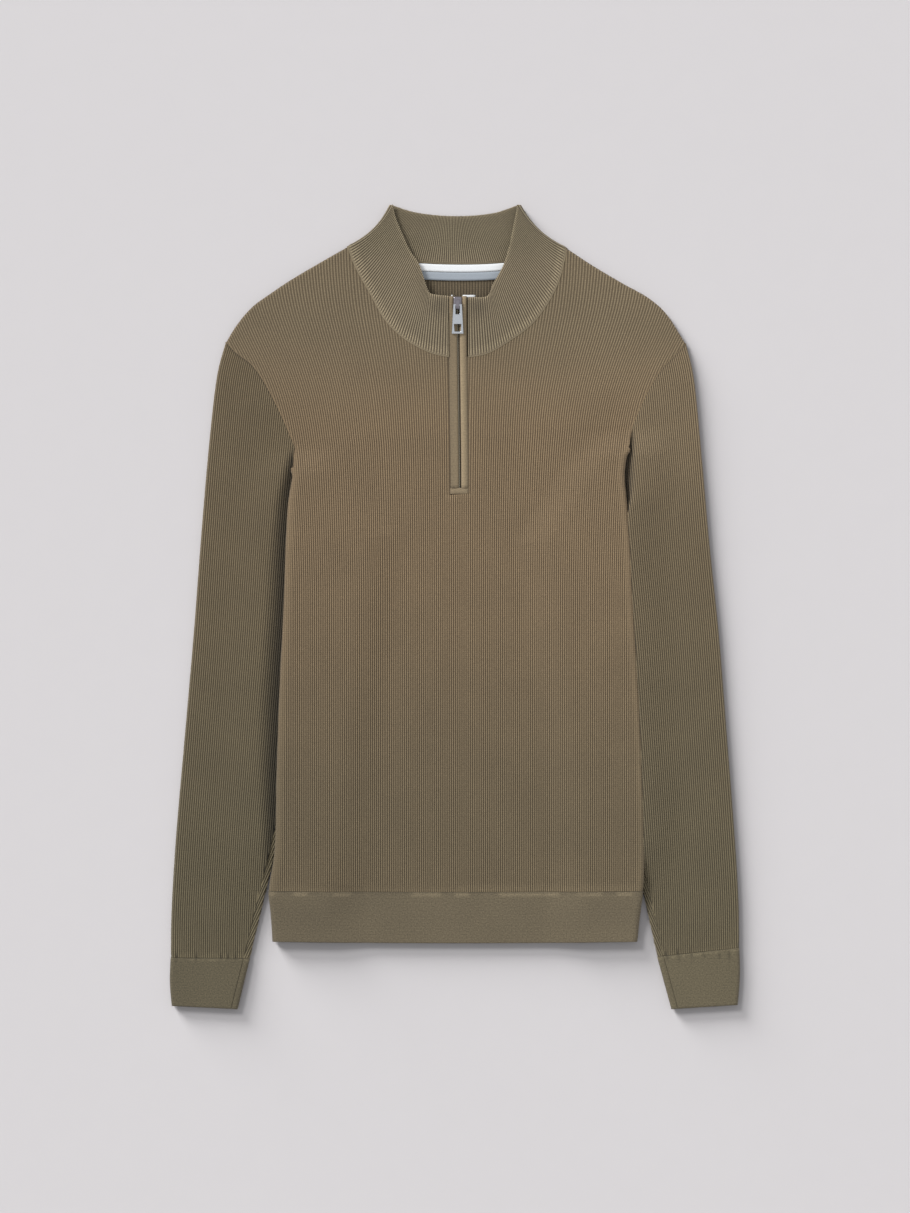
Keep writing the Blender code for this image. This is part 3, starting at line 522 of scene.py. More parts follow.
def upper_place(side, piece, lengths):
    """Places the part above that. Rows are fractions of each rib line, then steps of the shoulder's roll."""
    sign = SIDES[side]
    start = sign * MID_X
    first = body_rows()[0]
    lower = lower_place(side, piece, lengths, piece == "front")
    armhole = Curve(ARMHOLE[side], moved=0.02)
    shoulder = Curve(SHOULDER[side])
    if piece == "front":
        neck = Curve(NECKLINE[side], moved=SEAM_SIDE)
    else:
        neck = Curve([(sign * x, y) for x, y in BACK_NECK])
    tip_out, tip_y = ARMHOLE[side][0]
    corner_out, corner_y = NECKLINE[side][-1]
    start_out, start_y = FOLD_START[side]
    flat, low = (FRONT_Z, DIP_Z) if piece == "front" else (BACK_Z, BACK_Z)

    @functools.lru_cache(None)
    def ends(column):
        """y where a rib line starts and ends, and whether it ends at the shoulder."""
        length = lengths[column]

        def out_at(y):
            return start + length * fan(y)
        low_y = start_y
        if out_at(start_y) > start_out - SEAM_SIDE + 0.01:
            if out_at(tip_y) >= tip_out:
                return tip_y, tip_y, True
            low_y = meeting(lambda y: armhole.x_at(y) > out_at(y), start_y, tip_y)
        if out_at(corner_y) < corner_out - 0.01:
            high_y = meeting(lambda y: y > neck.y_at(out_at(y)), 200.0, corner_y + 2)
            return low_y, high_y - (SEAM / 2 if piece == "back" else 0.0), False
        return low_y, meeting(lambda y: y > shoulder.y_at(out_at(y)), low_y, corner_y), True

    def place(column, row):
        length = lengths[column]
        low_y, high_y, at_shoulder = ends(column)
        if low_y == start_y:
            made = lower(column, first)
            low_y = made[0][1]
            if row == 0:
                return made
        t = min(row, 1.0)
        angle = math.pi / 2 * (row - 1) / SHOULDER_ROLL if row > 1 else 0.0
        if at_shoulder:
            out = start + length * fan(high_y)
            slope = (shoulder.y_at(out + 1) - shoulder.y_at(out - 1)) / 2
            inset = KNIT / 2 + SHOULDER_RADIUS * (1 - math.sin(angle))
            high_y = max(high_y - inset * math.hypot(1, slope) / (1 - min(slope, 0) * 0.4), low_y)
        y = mix(low_y, high_y, t)
        out = min(start + length * fan(y), armhole.x_at(y) if y > start_y else math.inf)
        if piece == "front":
            out = max(out, sign * slit_x(side, y))
        distance = math.hypot(out - start_out, y - start_y)
        z = mix(flat, low, pressed(distance)) + surface(piece, sign * out, y)
        if piece == "front":
            z += neck_lift(sign * out, y)
        if row > 1 and at_shoulder:
            way = 1 if piece == "front" else -1
            z = (FRONT_Z + BACK_Z) / 2 + way * mix(ROLLED_SEAM / 2, SHOULDER_RADIUS, math.cos(angle))
        deep = groove(side, out, y) if piece == "front" else 0.0
        sewn = 1 - smooth((armhole.x_at(y) - out) / SEWN["wide"]) if y > start_y else 0.0
        inside = INSIDE_PAINTED_SHADE * smooth((y - INSIDE_Y) / INSIDE_RISE) if piece == "back" else 0.0
        high = smooth((y - UPPER_RIB["start"]) / UPPER_RIB["fade"])
        rib = ridge(column) * (1 - deep) * (1 - sewn) * mix(1.0, UPPER_RIB["left"], high)
        z -= GROOVE["deep"] * deep + SEWN["deep"] * sewn
        # Painted shade in the furrow beside the placket and on the back inside the neck; the armhole seam is
        # paler.
        painted_light_and_marks = SEWN["painted_light_and_marks"] * sewn - GROOVE["painted_light_and_marks"] * deep - inside
        return (sign * out, y, z), (sign * length, y, rib), painted_light_and_marks
    return place


def surface(piece, x, y):
    """Soft unevenness of the front, in millimetres."""
    if piece == "back":
        return 0.0
    height = UNEVEN * math.sin(x / 31 + y / 97) * math.sin(y / 61 - x / 83)
    return height * smooth((y + 270) / 60) * smooth((250 - y) / 60)


def cloth_length(side, piece, y):
    """Length across a panel at y, from the middle line to its edge."""
    sizes = section(side, piece, y)
    return sum(sizes[part + "_length"] for part in ("top", "turn", "under", "roll"))


def make_panel(piece, look):
    bm = bmesh.new()
    rows = body_rows()
    above, below = split_at_zip(rows)
    for side in SIDES:
        widest = max(cloth_length(side, piece, row[list(SIDES).index(side)]) for row in rows)
        lengths = rib_lengths(side, piece, widest)
        tip_out, tip_y = ARMHOLE[side][0]
        last = int((tip_out - SIDES[side] * MID_X) / fan(tip_y) / (RIB / 2)) + 2
        columns = range(len(lengths))
        grid(bm, columns, below, lower_place(side, piece, lengths, False))
        grid(bm, columns, above, lower_place(side, piece, lengths, piece == "front"))
        steps = [n / UPPER_STEPS for n in range(UPPER_STEPS + 1)]
        steps += [1 + n for n in range(1, SHOULDER_ROLL + 1)]
        grid(bm, range(last), steps, upper_place(side, piece, lengths))
    return knitted(piece + "_panel", bm, KNIT, look, RIB_DEEP)


HEM_COLUMN = 1.8
HEM_ROWS = 36
LINKED = {"below": 2.8, "wide": 2.6}    # the paler dashes along the hem's seam


def make_hem(piece, look):
    bm = bmesh.new()
    top = HEM_TOP_Y - SEAM / 2
    rows = [(mix(top, HEM_Y, n / HEM_ROWS),) * 2 for n in range(HEM_ROWS + 1)]
    for side in SIDES:
        widest = max(cloth_length(side, piece, row[0]) for row in rows)
        lengths = [n * HEM_COLUMN for n in range(int(widest / HEM_COLUMN) + 2)]
        plain = lower_place(side, piece, lengths, False)

        def place(column, row):
            point, cloth_and_painted_light, _ = plain(column, row)
            below = top - row[0]
            dash = math.sin(point[0] / 9.1 + 2 * math.sin(point[0] / 23)) + 0.6 * math.sin(point[0] / 3.7)
            pale = 0.55 * clamp(0.4 + dash) * (1 - smooth(abs(below - LINKED["below"]) / LINKED["wide"]))
            dark = 0.35 * clamp(0.3 - dash) * (1 - smooth(below / 2.5))
            return point, (cloth_and_painted_light[0], cloth_and_painted_light[1], 0.0), pale - dark
        grid(bm, range(len(lengths)), rows, place)
    return knitted("hem_band_" + piece, bm, KNIT, look)


# Sleeves and cuffs: flattened tubes. A length s goes round from the outer fold, and is negative behind it.

TUBE_SPARE = 14         # length round a tube that its folds and its seam may take up
SEAM_COLUMNS = 8        # rib lines fewer in front, where the underarm seam lies
# Painted shade in the valley beside the body's edge: how far it reaches, and how dark it gets for the
# valley's width.
VALLEY_PAINTED_SHADE = {"reach": 20, "wide": 1.15, "least": 1.0, "full": 6}
CLEAR = {"top": 3.0, "middle": 3.5}     # from the body's hidden edge to where a sleeve's cloth starts


def sleeve_height(side, out, y):
    """Middle of a sleeve's upper layer: pressed down under the body and along its edge."""
    start_out, start_y = FOLD_START[side]
    if y > start_y:
        distance = math.hypot(out - start_out, y - start_y)
    elif y < HEM_Y:
        distance = math.hypot(max(out - edge_out(side, HEM_Y), 0.0), HEM_Y - y)
    else:
        distance = out - edge_out(side, y)
    return mix(FRONT_Z, DIP_Z, pressed(distance)) + puff(side, out, y)


def puff(side, out, y):
    """How far a sleeve stands up beside the body's edge, where the body holds it down."""
    beside = out - edge_out(side, y) + PUFF_START[side] * smooth((PUFF_START_Y - y) / PUFF_FADE["start"])
    if beside <= 0 or y > FOLD_START[side][1] or y < HEM_Y:
        return 0.0
    wide = read(VALLEY[side], y, "wide")
    ends = smooth((FOLD_START[side][1] - y) / PUFF_FADE["top"]) * smooth((y - HEM_TOP_Y) / PUFF_FADE["hem"])
    return PUFF[side] * ends * smooth(beside / wide) * (1 - smooth((beside - wide) / PUFF_WIDTH))


def valley_painted_shade(side, out, y):
    """Painted shade in the valley between body and sleeve: how much darker the colour is there."""
    beside = out - edge_out(side, y)
    if y > FOLD_START[side][1] or y < HEM_Y or beside > VALLEY_PAINTED_SHADE["reach"]:
        return 0.0
    wide = read(VALLEY[side], y, "wide")
    ends = smooth((FOLD_START[side][1] + 2 - y) / 14) * smooth((y + 300) / 40)
    part = clamp((wide - VALLEY_PAINTED_SHADE["least"]) / VALLEY_PAINTED_SHADE["full"])
    return -ends * (1 - smooth(beside / (wide * VALLEY_PAINTED_SHADE["wide"]))) * part


def tube_point(side, outer, inner, y, s):
    """Distance out and height of a tube's wall. It ends at the underarm seam, or short of it."""
    outer_radius = (sleeve_height(side, outer, y) - BACK_Z) / 2
    inner_radius = (sleeve_height(side, inner, y) - BACK_Z) / 2
    outer_start = outer - KNIT / 2 - outer_radius
    inner_start = inner + KNIT / 2 + inner_radius
    quarter = math.pi / 2 * outer_radius
    along = abs(s)
    if along <= quarter:
        angle = along / outer_radius
        z = BACK_Z + outer_radius * (1 + math.copysign(math.sin(angle), s))
        return outer_start + outer_radius * math.cos(angle), z
    along -= quarter
    if s > 0:
        out = max(outer_start - along, inner + UNDERARM + SEAM / 2)
        z = mix(sleeve_height(side, out, y), BACK_Z + 2 * outer_radius, smooth(1 - along / 4))
        return out, z
    if along <= outer_start - inner_start:
        return outer_start - along, BACK_Z
    along -= outer_start - inner_start
    angle = min(along / inner_radius, math.pi)
    if angle < math.pi:
        return inner_start - inner_radius * math.sin(angle), BACK_Z + inner_radius * (1 - math.cos(angle))
    along -= math.pi * inner_radius
    return min(inner_start + along, inner + UNDERARM - SEAM / 2), BACK_Z + 2 * inner_radius


def inner_out(side, y):
    """Distance out of a sleeve's inner fold."""
    armpit_out, armpit_y = ARMPIT[side]
    end_out, end_y = CUFF[side]["top_inner"]
    return mix(armpit_out, end_out, (armpit_y - y) / (armpit_y - end_y))


def armhole_ends(side, outer):
    """Lengths round a sleeve, and the y where its cloth starts: a seam, then the hidden way to the armpit."""
    start_out, start_y = FOLD_START[side]
    armpit_out, armpit_y = ARMPIT[side]
    middle_y = mix(start_y - TURN_START, armpit_y, 0.5)
    seam = Curve(ARMHOLE[side], moved=-0.02)
    path = [tuple(point) for point in seam.line]
    path += [
        (start_out + CLEAR["top"], start_y - TURN_START),
        (edge_out(side, middle_y) - fold_depth(side, middle_y) + CLEAR["middle"], middle_y),
        (armpit_out, armpit_y),
    ]
    lengths = []
    starts = []
    for out, y in path:
        radius = (sleeve_height(side, outer.x_at(y), y) - BACK_Z) / 2
        inset = KNIT / 2 + radius
        reach = outer.x_at(y) - out
        quarter = math.pi / 2 * radius
        length = quarter + reach - inset if reach > inset else max(reach, 0.0) / inset * quarter
        if not lengths or length > lengths[-1]:
            lengths.append(length)
            starts.append(y)
    return lengths, starts


SLEEVE_STEPS = 62
SLEEVE_UPPER_STEPS = 24
SEAM_STEPS = (0.0, 0.008, 0.015)


def make_sleeve(side, look):
    sign = SIDES[side]
    outer = Curve(SLEEVE_OUTER[side])
    lengths, starts = armhole_ends(side, outer)
    armpit_y = ARMPIT[side][1]
    cuff = CUFF[side]
    widest = outer.x_at(armpit_y) - ARMPIT[side][0]
    count = int((widest + TUBE_SPARE) / (RIB / 2))
    columns = range(-count, count - SEAM_COLUMNS)

    def point_at(column, y):
        return tube_point(side, outer.x_at(y), inner_out(side, y), y, column * RIB / 2)

    def lower(column, row):
        y = mix(armpit_y, (cuff["top_outer"][1] + cuff["top_inner"][1]) / 2, row)
        out = point_at(column, y)[0]
        across = clamp((outer.x_at(y) - out) / (outer.x_at(y) - inner_out(side, y)))
        y = mix(armpit_y, mix(cuff["top_outer"][1], cuff["top_inner"][1], across) + SEAM / 2, row)
        out, z = point_at(column, y)
        painted_light_and_marks = 0.0
        if column > 0:
            drawn = gather(side, across, y - cuff["top_inner"][1])
            z -= 0.8 * drawn
            # Painted shade in the valley beside the body, and in the gathers' hollows.
            painted_light_and_marks = valley_painted_shade(side, out, y) - 0.8 * drawn
        return (sign * out, y, z), (column * RIB / 2, y, ridge(column)), painted_light_and_marks

    def upper(column, row):
        start_y = float(np.interp(abs(column) * RIB / 2, lengths, starts))
        y = mix(start_y, armpit_y, row)
        out, z = point_at(column, y)
        sewn = max(1 - row / SEAM_STEPS[-1], 0.0) if start_y > FOLD_START[side][1] else 0.0
        # Painted shade in the valley beside the body, and along the armhole seam's dip.
        painted_light_and_marks = valley_painted_shade(side, out, y) - 0.5 * sewn if column > 0 else 0.0
        return (sign * out, y, z - 0.4 * sewn), (column * RIB / 2, y, ridge(column)), painted_light_and_marks

    bm = bmesh.new()
    grid(bm, columns, [n / SLEEVE_STEPS for n in range(SLEEVE_STEPS + 1)], lower)
    last = int(lengths[-1] / (RIB / 2)) + 1
    steps = [*SEAM_STEPS] + [n / SLEEVE_UPPER_STEPS for n in range(1, SLEEVE_UPPER_STEPS + 1)]
    grid(bm, range(-last, last + 1), steps, upper)
    return knitted("sleeve_knit_" + side, bm, KNIT, look, RIB_DEEP)


# Where the sleeve's knit is gathered into the cuff: places across it, from the outer fold to the inner.
GATHERS = {
    "right": (0.08, 0.33, 0.64, 0.73, 0.82, 0.93),
    "left": (0.13, 0.25, 0.43, 0.585, 0.74, 0.88),
}
GATHER = {"above": 12, "below": -6, "wide": 0.016, "tall": 6}


def gather(side, across, above):
    """How deep a gather is, from 0 to 1. Its height above the cuff's seam is in millimetres."""
    if above > GATHER["above"] or above < GATHER["below"]:
        return 0.0
    depth = 0.0
    for n, middle in enumerate(GATHERS[side]):
        tall = GATHER["tall"] + 3 * math.sin(5 * n + 1)
        depth += math.exp(-((across - middle) / GATHER["wide"]) ** 2) * (1 - smooth(abs(above - 1) / tall))
    return min(depth, 1.0)


CUFF_COLUMN = 1.2
CUFF_ROWS = 24


def make_cuff(side, look):
    sign = SIDES[side]
    cuff = CUFF[side]
    count = int((cuff["top_outer"][0] - cuff["top_inner"][0] + TUBE_SPARE) / CUFF_COLUMN)

    def place(column, row):
        bulge = cuff["bulge"] * math.sin(math.pi * row)
        outer = mix(cuff["top_outer"][0], cuff["outer"][0], row) + bulge
        inner = mix(cuff["top_inner"][0], cuff["inner"][0], row)
        y = mix(cuff["top_outer"][1], cuff["outer"][1], row)
        out, z = tube_point(side, outer, inner, y, column * CUFF_COLUMN)
        across = clamp((outer - out) / (outer - inner))
        top_y = mix(cuff["top_outer"][1], cuff["top_inner"][1], across) - SEAM / 2
        y = mix(top_y, mix(cuff["outer"][1], cuff["inner"][1], across), row)
        drawn = gather(side, across, y - cuff["top_inner"][1]) if column > 0 else 0.0
        dash = 0.5 + 0.5 * math.sin(across * 61 + 3 * math.sin(across * 17))
        line = 0.5 * (1 - smooth(abs(row * 50 - 1.5) / 1.8)) * dash
        # Pale linking dashes below the cuff's seam; the gathers' hollows get painted shade.
        return (sign * out, y, z - 0.5 * drawn), (column * CUFF_COLUMN, y, 0.0), line - 0.6 * drawn
    bm = bmesh.new()
    grid(bm, range(-count, count), [n / CUFF_ROWS for n in range(CUFF_ROWS + 1)], place)
    return knitted("cuff_band_" + side, bm, KNIT, look)


# Collar: two layers, folded at the free edge, in one strip from the zip round the neck and back to the zip.

COLLAR_BAND = 13.0      # above the seam, where the rows are close together
# Rows of the collar: millimetres above its seam, and the fraction of the rest.
COLLAR_ROWS = [(up, 0) for up in (0, 0.8, 1.7, 2.4, 3.1, 4.0, 4.9, 5.6, 6.3, 7.2, 8.5, 10.5, 13)]
COLLAR_ROWS += [(COLLAR_BAND, rest) for rest in (0.1, 0.2, 0.3, 0.42, 0.54, 0.66, 0.78, 0.88, 0.95, 1)]
COLLAR_BOW = 5.5        # how far the collar's side creases bow in
COLLAR_FOOT = (2.6, -0.9)
COLLAR_SEAM_LAP = 1.2   # how far the collar laps over the body
COLLAR_RIB_DEEP = 0.25
STITCH_ROWS = (2.4, 5.6)
# Painted shade beside the collar's corners: where it lies, and how wide it is.
COLLAR_PAINTED_SHADE_SPOTS = ((-16.0, 299.0), (23.0, 299.0))
COLLAR_PAINTED_SHADE_WIDE = 10.0
EDGE_FOLD = 6
BACK_RIB = 2.3


def collar_height(x, y):
    return FRONT_Z + (COLLAR_KNIT - KNIT) / 2 + neck_lift(x, y)


@functools.lru_cache(None)
def collar_curves():
    curves = {"back_seam": Curve(BACK_NECK), "back_edge": Curve(COLLAR_BACK_EDGE)}
    for side in SIDES:
        curves[side + "_seam"] = Curve(NECKLINE[side], moved=COLLAR_SEAM_LAP)
        curves[side + "_edge"] = Curve(COLLAR_EDGE[side])
    return curves


def crease_bow(height):
    """The crease's move from a straight line: it bows in, and its foot laps over the shoulder."""
    bow = Vector((-0.7, -0.7)) * COLLAR_BOW * 4 * height * (1 - height)
    return bow + Vector(COLLAR_FOOT) * (1 - height) ** 4


def crease(side, height):
    """Side crease of the collar, from the shoulder to its point: distance out and y."""
    point = Vector(NECKLINE[side][-1]).lerp(Vector(COLLAR_EDGE[side][-1]), height)
    return point + Vector((0.0, SEAM / 2 * (1 - height))) + crease_bow(height)


def collar_middle(station, height):
    """A point of the collar's middle surface. Station is (part, amount): a front, its turn, or the back."""
    part, amount = station
    curves = collar_curves()
    low = COLLAR_KNIT / 2
    if part == "back":
        plan = curves["back_seam"].at(amount).lerp(curves["back_edge"].at(amount), height)
        bow = crease_bow(height) * abs(2 * amount - 1) ** 5
        plan.x += bow.x if amount > 0.5 else -bow.x
        plan.y += SEAM / 2 * (1 - height) + bow.y
        edge = crease("left", height)
        inset = low + (collar_height(*edge) - low) / 2
        plan.x *= 1 - inset / edge.x * abs(2 * amount - 1) ** 3
        return Vector((plan.x, plan.y, low))
    side = part.split("_")[0]
    sign = SIDES[side]
    edge = crease(side, height)
    radius = (collar_height(sign * edge.x, edge.y) - low) / 2
    start = edge.x - low - radius
    if part.endswith("turn"):
        angle = math.pi * amount
        out = start + radius * math.sin(angle)
        return Vector((sign * out, edge.y, low + radius * (1 + math.cos(angle))))
    plan = curves[side + "_seam"].at(amount).lerp(curves[side + "_edge"].at(amount), height)
    plan += crease_bow(height) * amount ** 5
    out = max(plan.x - (edge.x - start) * amount ** 10, sign * slit_x(side, plan.y))
    return Vector((sign * out, plan.y, collar_height(sign * plan.x, plan.y)))


def collar_stations():
    """(part, amount), length along the neck and rib of each column, from the wearer's right to the left."""
    curves = collar_curves()
    parts = []
    for part, length, rib, backwards in (
        ("right", curves["right_seam"].length, COLLAR_RIB, False),
        ("right_turn", math.pi * SHOULDER_RADIUS, BACK_RIB, False),
        ("back", curves["back_seam"].length, BACK_RIB, False),
        ("left_turn", math.pi * SHOULDER_RADIUS, BACK_RIB, True),
        ("left", curves["left_seam"].length, COLLAR_RIB, True),
    ):
        count = max(round(length / (rib / 2)), 2)
        for n in range(count + 1):
            if n == 0 and parts:
                continue
            amount = 1 - n / count if backwards else n / count
            parts.append(((part, amount), length / count))
    stations = []
    along = 0.0
    for n, (station, step) in enumerate(parts):
        along += step
        stations.append((station, along, ridge(n)))
    return stations


def make_collar(look):
    stations = collar_stations()
    folds = [("fold", n / EDGE_FOLD) for n in range(1, EDGE_FOLD)]
    rows = [("inner", row) for row in COLLAR_ROWS] + folds
    rows += [("outer", row) for row in reversed(COLLAR_ROWS)]

    @functools.lru_cache(None)
    def frame_at(n, height):
        """Middle point, way up the collar and way off it, towards its inner face."""
        station = stations[n][0]
        here = collar_middle(station, height)
        up = (collar_middle(station, height + 0.02) - collar_middle(station, height - 0.02)).normalized()
        before = stations[max(n - 1, 0)][0]
        after = stations[min(n + 1, len(stations) - 1)][0]
        across = (collar_middle(after, height) - collar_middle(before, height)).normalized()
        return here, up, across.cross(up).normalized()

    @functools.lru_cache(None)
    def span_at(n):
        return (collar_middle(stations[n][0], 1.0) - collar_middle(stations[n][0], 0.0)).length

    def place(n, row):
        kind, value = row
        _, along, rib = stations[n]
        span = span_at(n)
        last = span - (PLY_OFFSET + PLY / 2)
        up_mm = last if kind == "fold" else value[0] + value[1] * (last - COLLAR_BAND)
        here, up, off = frame_at(n, up_mm / span)
        fade = smooth((up_mm - 0.6) / 3.5)
        if kind == "fold":
            angle = math.pi * value
            point = here + up * PLY_OFFSET * math.sin(angle) + off * PLY_OFFSET * math.cos(angle)
        else:
            apart = mix(0.3, PLY_OFFSET, smooth(up_mm / 3))
            point = here + off * (apart if kind == "inner" else -apart)
        painted_light_and_marks = 0.0
        if kind == "outer" and stations[n][0][0] in SIDES:
            painted_light_and_marks = 0.08 * (1 - smooth((up_mm - 1.6) / 2.2)) + 0.17 * (1 - smooth((up_mm - 7.0) / 4))
            if min(abs(up_mm - stitch) for stitch in STITCH_ROWS) < 0.3:
                painted_light_and_marks += 0.5 if rib > 0 else -0.4
            # Painted shade beside the collar's corners.
            for corner in COLLAR_PAINTED_SHADE_SPOTS:
                away = (point.xy - Vector(corner)).length
                painted_light_and_marks -= 0.4 * math.exp(-(away / COLLAR_PAINTED_SHADE_WIDE) ** 2)
        # Painted highlight along the collar's folded top edge.
        painted_light_and_marks += 0.3 * smooth((up_mm - last + 3) / 3)
        return point, (along, up_mm, rib * fade), painted_light_and_marks
    bm = bmesh.new()
    grid(bm, range(len(stations)), rows, place)
    return knitted("collar_knit", bm, PLY, look, COLLAR_RIB_DEEP)


# Zip and trim.

STRIP_ROWS = tuple(range(122, 306, 4))
STRIP_WALL = 0.8
BAR_WALL = 1.4
# Painted light and shade across the placket's strips: lighter by the slit, darker at the outer edge.
STRIP_PAINTED_LIGHT = {"right": (0.05, -0.30), "left": (0.42, -0.10)}    # at its inner and its outer edge
STRIP_INNER = {"right": 1.1, "left": 2.3}
STRIP_OUTER = 8.7


def spread(y, closed, opened):
    """Half the gap beside the zip line, wider where the slider stands."""
    return mix(closed, opened, smooth((y - SPREAD_Y) / SPREAD))


def strip_point(side, column, y, inner, outer, below):
    """A point of a strip along the zip. Column 0 is its inner edge, 1 its outer one."""
    x = zip_x(y) + SIDES[side] * mix(inner, outer, column)
    return Vector((x, y, FRONT_Z + neck_lift(x, y) - below))


# The strips' section: part of the width, and height above the knit. Their edges are turned under.
STRIP_SECTION = (
    (0.10, -1.4), (0.02, -1.0), (0.0, -0.4), (0.05, 0.15), (0.18, 0.55), (0.35, 0.75), (0.5, 0.8),
    (0.65, 0.75), (0.82, 0.55), (0.95, 0.15), (1.0, -0.4), (0.98, -1.0), (0.90, -1.4),
)


def make_placket(side, look):
    rows = (ZIP_BAR_Y + SEAM, *STRIP_ROWS, 306.5, 308.2, 309.2)

    def place(column, y):
        across, height = STRIP_SECTION[column]
        point = strip_point(side, across, y, spread(y, STRIP_INNER[side], SLIDER_HALF), STRIP_OUTER, 0.0)
        top = smooth((COLLAR_TOP_Y - y) / 3)
        point.z += mix(-0.9, height, top)
        # Painted light and shade across the strip.
        painted_light_and_marks = mix(*STRIP_PAINTED_LIGHT[side], smooth(across))
        return point, (column * 0.9, y, 0.0), painted_light_and_marks
    bm = bmesh.new()
    grid(bm, range(len(STRIP_SECTION)), rows, place)
    return knitted("placket_strip_" + side, bm, STRIP_WALL, look)


def make_placket_end(look):
    def place(column, row):
        y = mix(ZIP_END_Y + SEAM, ZIP_BAR_Y, row)
        x = zip_x(y) + column * PLACKET_HALF
        dome = (1 - abs(2 * row - 1) ** 3) * (1 - abs(column) ** 8)
        return Vector((x, y, FRONT_Z + mix(-0.4, 0.7, dome))), (x, y, 0.0)
    bm = bmesh.new()
    grid(bm, [n / 8 for n in range(-8, 9)], [n / 6 for n in range(7)], place)
    return knitted("placket_bar", bm, BAR_WALL, look)


TAPE_BELOW = KNIT / 2 + SEAM + TAPE / 2
TAPE_OUTER = 11.0
TAPE_END_OUTER = {"right": 6.5, "left": 17.5}   # at the upper ends, which are turned out or in
TAPE_END_Y = 302.0


def make_zip_tape(side, look):
    rows = (ZIP_BAR_Y - 3, *STRIP_ROWS, 308.0, 309.4, 310.6)

    def place(column, y):
        outer = mix(TAPE_OUTER, TAPE_END_OUTER[side], smooth((y - TAPE_END_Y) / 5))
        point = strip_point(side, column, y, spread(y, 1.3, SLIDER_HALF + 0.1), outer, TAPE_BELOW)
        return point, (column * 9, y, 0.0)
    bm = bmesh.new()
    grid(bm, (0.0, 0.25, 0.5, 0.75, 1.0), rows, place)
    return knitted("zip_tape_woven_" + side, bm, TAPE, look)


TOOTH_PITCH = 1.7
TOOTH_SIZE = (1.1, 1.15, 1.3)
TOOTH_TOP = 0.75        # how much narrower a tooth is at its top
TEETH_END_Y = 297.5


def make_teeth(look):
    """Closed teeth: each is a small block, narrower at its top, and they alternate from side to side."""
    bm = bmesh.new()
    y = ZIP_BAR_Y + 1.0
    side = 1
    while y < TEETH_END_Y:
        block = bmesh.ops.create_cube(bm, size=1.0)["verts"]
        x = zip_x(y) - 0.1 + side * 0.3
        z = FRONT_Z + neck_lift(x, y) - KNIT / 2 - SEAM
        for vert in block:
            shrink = TOOTH_TOP if vert.co.z > 0 else 1.0
            wide, long, high = TOOTH_SIZE
            vert.co = Vector((
                x + vert.co.x * wide * shrink, y + vert.co.y * long * shrink, z + vert.co.z * high,
            )) * MM
        y += TOOTH_PITCH / 2
        side = -side
    piece = finish("zip_teeth", bm, look)
    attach(piece, "garment")
    return piece


def make_neck_tape(name, look):
    tape = NECK_TAPES[name]
    seam = Curve(BACK_NECK)

    def place(column, row):
        point = seam.at(mix(tape["from"], tape["to"], column))
        y = point.y - mix(tape["bottom"], tape["top"], row)
        z = BACK_Z + KNIT / 2 + SEAM + TAPE / 2
        return (point.x, y, z), (column * (tape["to"] - tape["from"]) * seam.length, row * 8, 0.0)
    bm = bmesh.new()
    grid(bm, [n / 40 for n in range(41)], [n / 4 for n in range(5)], place)
    return knitted(name + "_woven", bm, TAPE, look)


# Materials. Colours are sRGB hex values.

def srgb(code):
    values = [int(code[i:i + 2], 16) / 255 for i in (0, 2, 4)]
    return [v / 12.92 if v <= 0.04045 else ((v + 0.055) / 1.055) ** 2.4 for v in values] + [1.0]


def node(tree, kind, inputs=(), **settings):
    """Adds a node, sets its settings, and fills its inputs with numbers or links."""
    made = tree.nodes.new("ShaderNode" + kind)
    for name, value in settings.items():
        setattr(made, name, value)
    for key, value in dict(inputs).items():
        if isinstance(value, bpy.types.NodeSocket):
            tree.links.new(value, made.inputs[key])
        else:
            made.inputs[key].default_value = value
    return made


def calculate(tree, operation, *values):
    """Result of one calculation on numbers or links."""
    return node(tree, "Math", dict(enumerate(values)), operation=operation).outputs[0]


def ramp(tree, value, start, end, low=0.0, high=1.0, **settings):
    """Goes from low to high while the value goes from start to end."""
    return node(tree, "MapRange", {0: value, 1: start, 2: end, 3: low, 4: high}, **settings).outputs[0]


def new_material(name, roughness, metallic=0.0):
    made = bpy.data.materials.new(name)
    made.use_nodes = True
    shader = made.node_tree.nodes["Principled BSDF"]
    shader.inputs["Roughness"].default_value = roughness
    shader.inputs["Metallic"].default_value = metallic
    return made, made.node_tree, shader


def dress(tree, shader, colour, strength, distance, height):
    """Gives a material its colour, and its bumps from a height."""
    tree.links.new(colour, shader.inputs["Base Color"])
    bump = node(tree, "Bump", {"Strength": strength, "Distance": distance, "Height": height})
    tree.links.new(bump.outputs[0], shader.inputs["Normal"])


